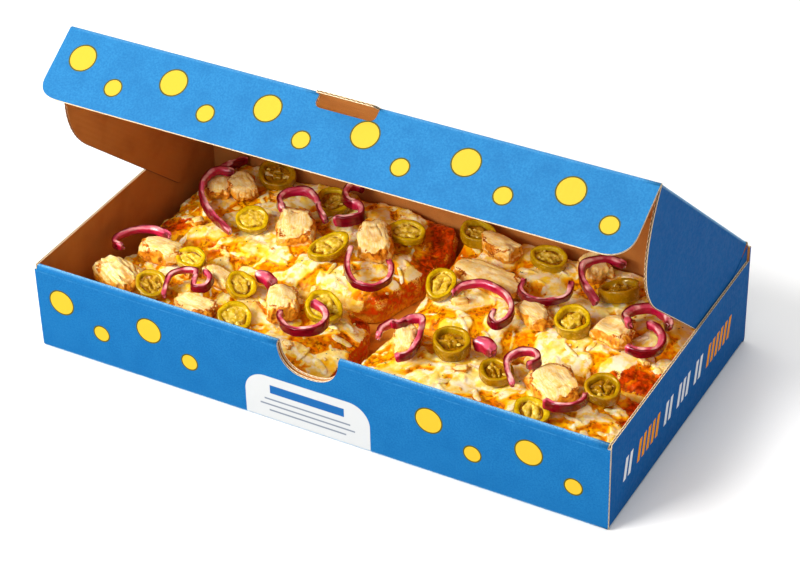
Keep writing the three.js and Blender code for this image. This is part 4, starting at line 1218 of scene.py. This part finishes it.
def pepper_material():
    m = Mat("pickled_jalapeno", Specular_IOR_Level=0.5, Specular_Tint=(1.0, 0.9, 0.45, 1.0),
            Subsurface_Weight=0.2, Subsurface_Scale=0.004, Subsurface_Radius=(1.0, 0.9, 0.15),
            Coat_Weight=0.25, Coat_Roughness=0.06)
    tone, skinned = m.attr("tone"), m.attr("skin")
    flesh = m.mottle(2.2, 3, 0.35, 0.65, col(196, 164, 2), col(222, 190, 16))
    core = m.mottle(2.0, 3, 0.38, 0.62, col(216, 180, 26), col(240, 212, 92))
    # tone darkens a ring to brown: ripeness, and for rings under the lid painted shade
    ripe_core = m.mottle(2.0, 3, 0.38, 0.62, col(170, 120, 4), col(216, 174, 30))
    core = m.mix(m.range(tone, 0.35, 0.75), core, ripe_core)
    flesh = m.mix(m.range(skinned, -0.4, -0.05), core, flesh)
    skin = m.mottle(4, 3, 0.35, 0.65, col(156, 122, 0), col(192, 154, 0))
    skin = m.mottle(1.1, 3, 0.66, 0.76, skin, col(116, 84, 2), 0.3)
    colour = m.mix(m.range(skinned, 0.1, 0.6), flesh, skin)
    # painted shade: the hollows coloured dark
    inside = m.mottle(2.6, 2, 0.4, 0.6, col(174, 116, 2), col(118, 60, 0))
    colour = m.mix(m.range(m.attr("hollow"), 0.35, 0.9), colour, inside)
    ripe = m.mottle(5, 2, 0.35, 0.65, col(164, 112, 2), col(126, 84, 0))
    m.set("Base Color", m.mix(m.range(tone, 0.25, 1.0, 0.0, 0.85), colour, ripe))
    m.set("Roughness", m.patches(2, 2, 0.3, 0.7, 0.14, 0.30))
    m.bump(m.noise(0.9, 3), 0.14, 0.4)
    return m.mat


def seed_material():
    m = Mat("jalapeno_seed", Roughness=0.35)
    m.set("Base Color", m.mix(m.noise(0.8, 2), col(238, 214, 112), col(214, 184, 60)))
    m.bump(m.noise(0.5, 2), 0.08, 0.4)
    return m.mat


def spline(points, count):
    """Centripetal Catmull-Rom points, evenly spaced along the curve, and its length."""
    p = np.asarray(points, float)
    p = np.vstack([2 * p[0] - p[1], p, 2 * p[-1] - p[-2]])
    dense = []
    for i in range(1, len(p) - 2):
        q = p[i - 1 : i + 3]
        t = run_along(q, 0.5)
        s = np.linspace(t[1], t[2], 24, endpoint=False)[:, None]

        def between(a, c, i, j):
            return (t[j] - s) / (t[j] - t[i]) * a + (s - t[i]) / (t[j] - t[i]) * c

        first = [between(q[j], q[j + 1], j, j + 1) for j in range(3)]
        second = [between(first[j], first[j + 1], j, j + 2) for j in range(2)]
        dense.append(between(*second, 1, 2))
    dense = np.vstack(dense + [p[-2:-1]])
    run = run_along(dense)
    at = np.linspace(0, run[-1], count)
    return np.stack([np.interp(at, run, dense[:, k]) for k in range(3)], 1), run[-1]


def onion_mesh(o, index):
    """A curled strip of red onion: a thick band, dark outside its curl, pale on its cut edge."""
    thick, tall = o.get("thick", 2.6) * 1.5, o["tall"] * 1.2  # fuller than the solids' strips
    _, length = spline(o["path"], 8)
    n, count = max(14, int(length / 0.8)), 24
    line, _ = spline(o["path"], n)
    tangent = unit(np.gradient(line, axis=0))
    across = unit(np.cross(tangent, [0, 0, 1.0]))
    up = np.cross(across, tangent)
    bending = (np.gradient(tangent, axis=0) * across).sum(1) / (length / (n - 1))
    window = np.hanning(9) / np.hanning(9).sum()
    curl = np.pad(np.clip(bending / 0.05, -1, 1), 4, mode="edge")
    curl = np.convolve(curl, window, mode="valid")[:, None]

    # along the strip down the rows, round its section across the columns
    s, t = np.linspace(0, 1, n)[:, None], np.arange(count) / count * TAU
    ends = np.clip(np.minimum(s, 1 - s) * length / 1.6, 0, 1)
    taper = 0.55 + 0.45 * np.sqrt(1 - (1 - ends) ** 2)
    sx = np.sign(np.cos(t)) * np.abs(np.cos(t)) ** 0.62
    sy = np.sign(np.sin(t)) * np.abs(np.sin(t)) ** 0.5
    lump = 1 + 0.12 * noise(s * length / 5, sx * 1.2, sy * 1.2, index + 40)
    cupped = 0.12 * tall * curl * (sy**2 - 0.4) * taper  # the band cups towards its curl
    groove = 0.5 * smooth(0.5, 0.9, sy) * np.exp(-((sx / 0.45) ** 2)) * taper  # in the cut edge
    ridges = 0.10 * np.sin(s * length * 0.9 + index) * np.cos(4 * t)
    wide = sx * thick / 2 * taper * lump - cupped + 0.5 * np.sin(s * 6 + index) * sy + ridges
    high = sy * tall / 2 * taper * lump - groove
    points = line[:, None] + wide[..., None] * across[:, None] + high[..., None] * up[:, None]

    outer = -sx * curl  # 1 on the outside of the curl
    along = np.stack(np.broadcast_arrays(s * length, t * 1.2, index * 7.0), -1)
    b = Build()
    b.add(points, quads(n, count, close_v=True), flip=True, outer=outer, along=along,
          face=smooth(0.3, 0.85, sy) * smooth(0.4, -0.25, outer))
    b.cap(points[0], outer=0.2, face=0.7)
    b.cap(points[-1], flip=True, outer=0.2, face=0.7)
    return b


def onion_material():
    m = Mat("red_onion", Specular_IOR_Level=0.5, Specular_Tint=(1.0, 0.6, 0.75, 1.0),
            Subsurface_Weight=0.1, Subsurface_Scale=0.002, Subsurface_Radius=(1.0, 0.3, 0.6),
            Coat_Weight=0.35, Coat_Roughness=0.05)
    veins = m.streaks("along", (0.14, 2.2, 1.0), 3)
    skin = m.mix(m.range(veins, 0.3, 0.7), col(128, 6, 26), col(86, 0, 14))
    inner = m.mix(m.range(veins, 0.3, 0.7), col(188, 22, 66), col(158, 6, 42))
    side = m.mix(m.range(m.attr("outer"), -0.45, 0.35), inner, skin)
    pale = m.mottle(7, 2, 0.4, 0.64, col(216, 88, 116), col(250, 200, 196))
    cut = m.range(m.mul(m.attr("face"), m.patches(13, 1, 0.38, 0.60, 0.45, 1.0)), 0.1, 0.7)
    m.set("Base Color", m.mix(cut, side, pale))
    m.set("Roughness", m.patches(3, 2, 0.35, 0.65, 0.10, 0.24))
    m.bump(veins, 0.12, 0.4)
    return m.mat


# ---- scatter on the slices ----------------------------------------------------------------


def surface(tops):
    """Looks up the height of the slices' upper faces, None beside them."""
    points = np.concatenate(tops)
    tree = KDTree(len(points))
    for i, p in enumerate(points):
        tree.insert(Vector((p[0], p[1], 0)), i)
    tree.balance()

    def height(x, y):
        _, i, far = tree.find(Vector((x, y, 0)))
        return points[i][2] if far < 2.0 else None

    return height


def scatter(height, seed, count, clear):
    """Seeded places on the slices, (x, y, z), at least clear from their sides."""
    rng, made = np.random.default_rng(seed), []
    while len(made) < count:
        x, y = rng.uniform(9, 373), rng.uniform(9, 193)
        if all(height(x + dx, y + dy) for dx, dy in ((-clear, 0), (clear, 0), (0, -clear), (0, clear))):
            made.append((x, y, height(x, y)))
    return rng, made


def shreds(height):
    """Grated cheese that kept its shape: soft curved strips half sunk in the melt."""
    b, n, count = Build(), 15, 10
    s, t = np.linspace(-0.5, 0.5, n), np.arange(count) / count * TAU
    taper = np.sqrt(np.clip(1 - (2 * s) ** 4, 0.02, 1))[:, None]
    rng, places = scatter(height, 11, 40, clear=5)
    for x, y, _ in places:
        length, angle, bend = rng.uniform(8, 17), rng.random() * TAU, rng.uniform(-0.9, 0.9)
        heading = angle + bend * s
        px = x + np.cumsum(np.cos(heading)) * length / n - math.cos(angle) * length / 2
        py = y + np.cumsum(np.sin(heading)) * length / n - math.sin(angle) * length / 2
        pz = [height(a, c) for a, c in zip(px, py)]
        if None in pz or any(math.hypot(x - sx, y - sy) < r and k > 0.7 for sx, sy, r, k in SAUCE):
            continue
        pz = np.convolve(np.pad(pz, 3, mode="edge"), np.ones(7) / 7, mode="valid") + 0.35
        wide, thick = rng.uniform(1.4, 2.3), rng.uniform(0.7, 1.0)
        size = taper * (1 + 0.15 * noise(s[:, None] * 6, t, x, 77))
        side = np.stack([-np.sin(heading), np.cos(heading), np.zeros(n)], -1)
        points = np.stack([px, py, pz], -1)[:, None] + (np.cos(t) * wide * size)[..., None] * side[:, None]
        points[..., 2] += np.sin(t) * thick * size
        tone = rng.random()
        b.add(points, quads(n, count, close_v=True), flip=True,
              cheese=1.0, oil=0.25 * tone, brown=0.6 * tone)
        b.cap(points[0], cheese=1.0, oil=0.2, brown=0.2)
        b.cap(points[-1], flip=True, cheese=1.0, oil=0.2, brown=0.2)
    return b


def flecks(height):
    """Specks of herb and pepper, and crumbs of browned meat, on the cheese."""
    b = Build()
    p, faces = cube_sphere(3)
    rng, places = scatter(height, 23, 150, clear=1.5)
    for i, (x, y, z) in enumerate(places):
        size = np.array([rng.uniform(0.35, 0.9), rng.uniform(0.25, 0.5), 0.22])
        b.add((p * size) @ spin(rng.random() * TAU).T + (x, y, z + 0.15), faces, 0 if i % 3 else 1)
    return b


def crumbs(height):
    """Crumbs of crust and cheese on the slices and in the gaps between them."""
    b, floor = Build(), 1.9
    p, faces = cube_sphere(5)
    rng, places = scatter(height, 37, 80, clear=2)
    gap = np.random.default_rng(5)
    places += [(gap.uniform(189, 198), gap.uniform(20, 188), floor) for _ in range(26)]
    places += [(gap.uniform(20, 180), gap.uniform(96, 102), floor) for _ in range(14)]
    for i, (x, y, z) in enumerate(places):
        size = np.array([rng.uniform(0.7, 1.7), rng.uniform(0.6, 1.2), rng.uniform(0.4, 0.9)])
        q = p * size * (1 + 0.3 * noise(p[:, 0] * 2 + x, p[:, 1] * 2, p[:, 2] * 2 + y, i))[:, None]
        turn = spin(rng.random() * TAU)
        b.add(q @ turn.T + (x, y, z + 0.3), faces, brown=rng.random(), groove=0.3, grain=q)
    return b


def scraps():
    """The shreds of chicken laid on each slice."""
    b = Build()
    for o in SLICES.values():
        step = draw(o["seed"] * 10)
        for k in range(SCRAPS):
            size = [2 * (3 + 2.5 * step()), 2 * (2.2 + 1.2 * step()), 2 * (1.8 + step())]
            yaw = math.degrees(step() * TAU)
            u = ((k + 0.2 + 0.6 * step()) / SCRAPS) * 1.6 - 0.8
            v = (0.45 if k % 2 else -0.4) + 0.5 * (step() - 0.5)
            x, y, z = on_top(o, np.float64(u), np.float64(v))
            seed = 50 + k + int(o["seed"] * 10)
            part = chicken_mesh(dict(at=(x, y, z + 0.6), size=size, yaw=yaw, seed=seed, n=12))
            b.add(part.points[0], part.faces, **{key: rows[0][1] for key, rows in part.values.items()})
    return b


# ---- assembly -----------------------------------------------------------------------------

# in the order of OUT_PLAIN, INNER, EDGE, OUT_FRONT, OUT_SIDE, OUT_LID, OUT_DEEP
board = [
    printed("printed_board"), kraft(), cut_board(),
    # the front and side prints, and OUT_DEEP, carry painted shade
    printed("printed_front", front_art, FRONT_DEEP, FRONT_SHADE),
    printed("printed_side", side_art, SIDE_DEEP, SIDE_SHADE),
    printed("printed_flap", dots(2.0, 18.0, 31.0)),
    printed("printed_side_plain", None, SIDE_DEEP, SIDE_SHADE),
]
for name, made, body, node in (("tray_board", tray(), TRAY, "tray"), ("lid_board", lid(), LID, "lid"),
                               ("front_flap_board", front_flap(), FLAP, "lid_front_flap")):
    made.piece(name, board, body, "board", [node], weld=0.004)
for name, (made, ends), pair in (("lid_front_crease", lid_crease(), (LID, FLAP)),
                                 ("lid_hinge_crease", hinge_crease(), (TRAY, LID))):
    strip = made.piece(name, board, slot="board", weld=0.004)
    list(pair)
    tuple(row(ends[0]))
    tuple(row(ends[1]))
    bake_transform(strip)

pizza, meat, onion = pizza_material(), chicken_material(), onion_material()
pepper = [pepper_material(), seed_material()]
tops = []
for name, o in SLICES.items():
    made = slice_mesh(o)
    tops.append(made.points[0])
    made.piece(f"pizza_{name}", [pizza], TRAY, "slice", [f"slice_{name}"], weld=0.002)
for i, o in enumerate(CHICKEN, 1):
    made = chicken_mesh(o)
    made.piece(f"chicken_piece_{i:02d}", [meat], TRAY, "chicken", [f"chicken_{i:02d}"], weld=0.01)
for i, o in enumerate(PEPPER, 1):
    made = pepper_mesh(o, i - 1)
    made.piece(f"jalapeno_ring_{i:02d}", pepper, TRAY, "jalapeno", [f"jalapeno_{i:02d}"], weld=0.002)
for i, o in enumerate(ONION, 1):
    made = onion_mesh(o, i - 1)
    made.piece(f"onion_strip_{i:02d}", [onion], TRAY, "onion", [f"onion_{i:02d}"], weld=0.002)

height = surface(tops)
herb = Mat("herb_fleck", Roughness=0.6)
herb.set("Base Color", herb.mix(herb.noise(3, 2), col(70, 76, 22), col(40, 44, 16)))
char = Mat("charred_fleck", Roughness=0.7)
char.set("Base Color", char.mix(char.noise(2, 2), col(96, 44, 18), col(50, 26, 14)))
shreds(height).piece("cheese_shreds", [pizza], TRAY, "slice")
flecks(height).piece("herb_flecks", [herb.mat, char.mat], TRAY, "slice")
crumbs(height).piece("crumbs", [meat], TRAY, "slice")
scraps().piece("chicken_scraps", [meat], TRAY, "chicken", weld=0.01)

# ---- floor, light, camera, in metres ------------------------------------------------------

bpy.ops.mesh.primitive_plane_add(size=30, location=(0, 0, -0.0002))
floor = bpy.context.object
floor.name = "floor"
paint = Mat("pale_floor", Roughness=0.9, Specular_IOR_Level=0.1, Base_Color=col(226, 226, 226))
floor.data.materials.append(paint.mat)

world = bpy.data.worlds.new("world")
bpy.context.scene.world = world
world.use_nodes = True
tree = world.node_tree
background = tree.nodes["Background"]
background.inputs[0].default_value = (1, 0.985, 0.965, 1)
sky = tree.nodes.new("ShaderNodeTexCoord")
towards = tree.nodes.new("ShaderNodeVectorMath")
towards.operation = "DOT_PRODUCT"
towards.inputs[1].default_value = (1, 0, -1)
dim = tree.nodes.new("ShaderNodeMapRange")
for k, value in enumerate((-1.0, 1.0, 0.85, 0.22), 1):  # dimmer towards the right
    dim.inputs[k].default_value = value
tree.links.new(sky.outputs["Generated"], towards.inputs[0])
tree.links.new(towards.outputs["Value"], dim.inputs[0])
tree.links.new(dim.outputs[0], background.inputs[1])


def area(name, place, aim, size, power, colour=(1, 1, 1)):
    light = bpy.data.lights.new(name, "AREA")
    light.shape, light.size, light.size_y = "RECTANGLE", size[0], size[1]
    light.energy, light.color = power, colour
    obj = bpy.data.objects.new(name, light)
    bpy.context.scene.collection.objects.link(obj)
    obj.location = place
    obj.rotation_euler = (Vector(aim) - Vector(place)).to_track_quat("-Z", "Y").to_euler()


area("key", (-0.99, -1.42, 1.35), (0, 0, 0.05), (1.0, 1.0), 65, (1.0, 0.985, 0.96))
area("fill", (0.25, -1.9, 1.05), (0, 0, 0.05), (1.1, 0.8), 8)
area("top", (-0.2, 0.3, 2.2), (0, 0, 0), (1.4, 1.4), 20)

AZIMUTH, ELEVATION, ROLL = rad(29.41), rad(35.19), rad(-1.44)
AWAY, ASIDE, ABOVE = 1540.46, 219.83, 39.75  # the camera's place along its own axes, in millimetres
camera = bpy.data.cameras.new("camera")
camera.sensor_width, camera.lens = 36.0, 112.2
camera.clip_start, camera.clip_end = 0.05, 50
view = bpy.data.objects.new("camera", camera)
bpy.context.scene.collection.objects.link(view)
level = math.cos(ELEVATION)
back = Vector((math.sin(AZIMUTH) * level, -math.cos(AZIMUTH) * level, math.sin(ELEVATION)))
right = (-back).cross(Vector((0, 0, 1))).normalized()
up = right.cross(-back)
right, up = right * math.cos(ROLL) + up * math.sin(ROLL), up * math.cos(ROLL) - right * math.sin(ROLL)
pose = Matrix((right, up, back)).transposed().to_4x4()
pose.translation = row(back * AWAY + right * ASIDE + up * ABOVE)
view.matrix_world = pose
bpy.context.scene.camera = view
bpy.context.scene.view_settings.view_transform = "Standard"
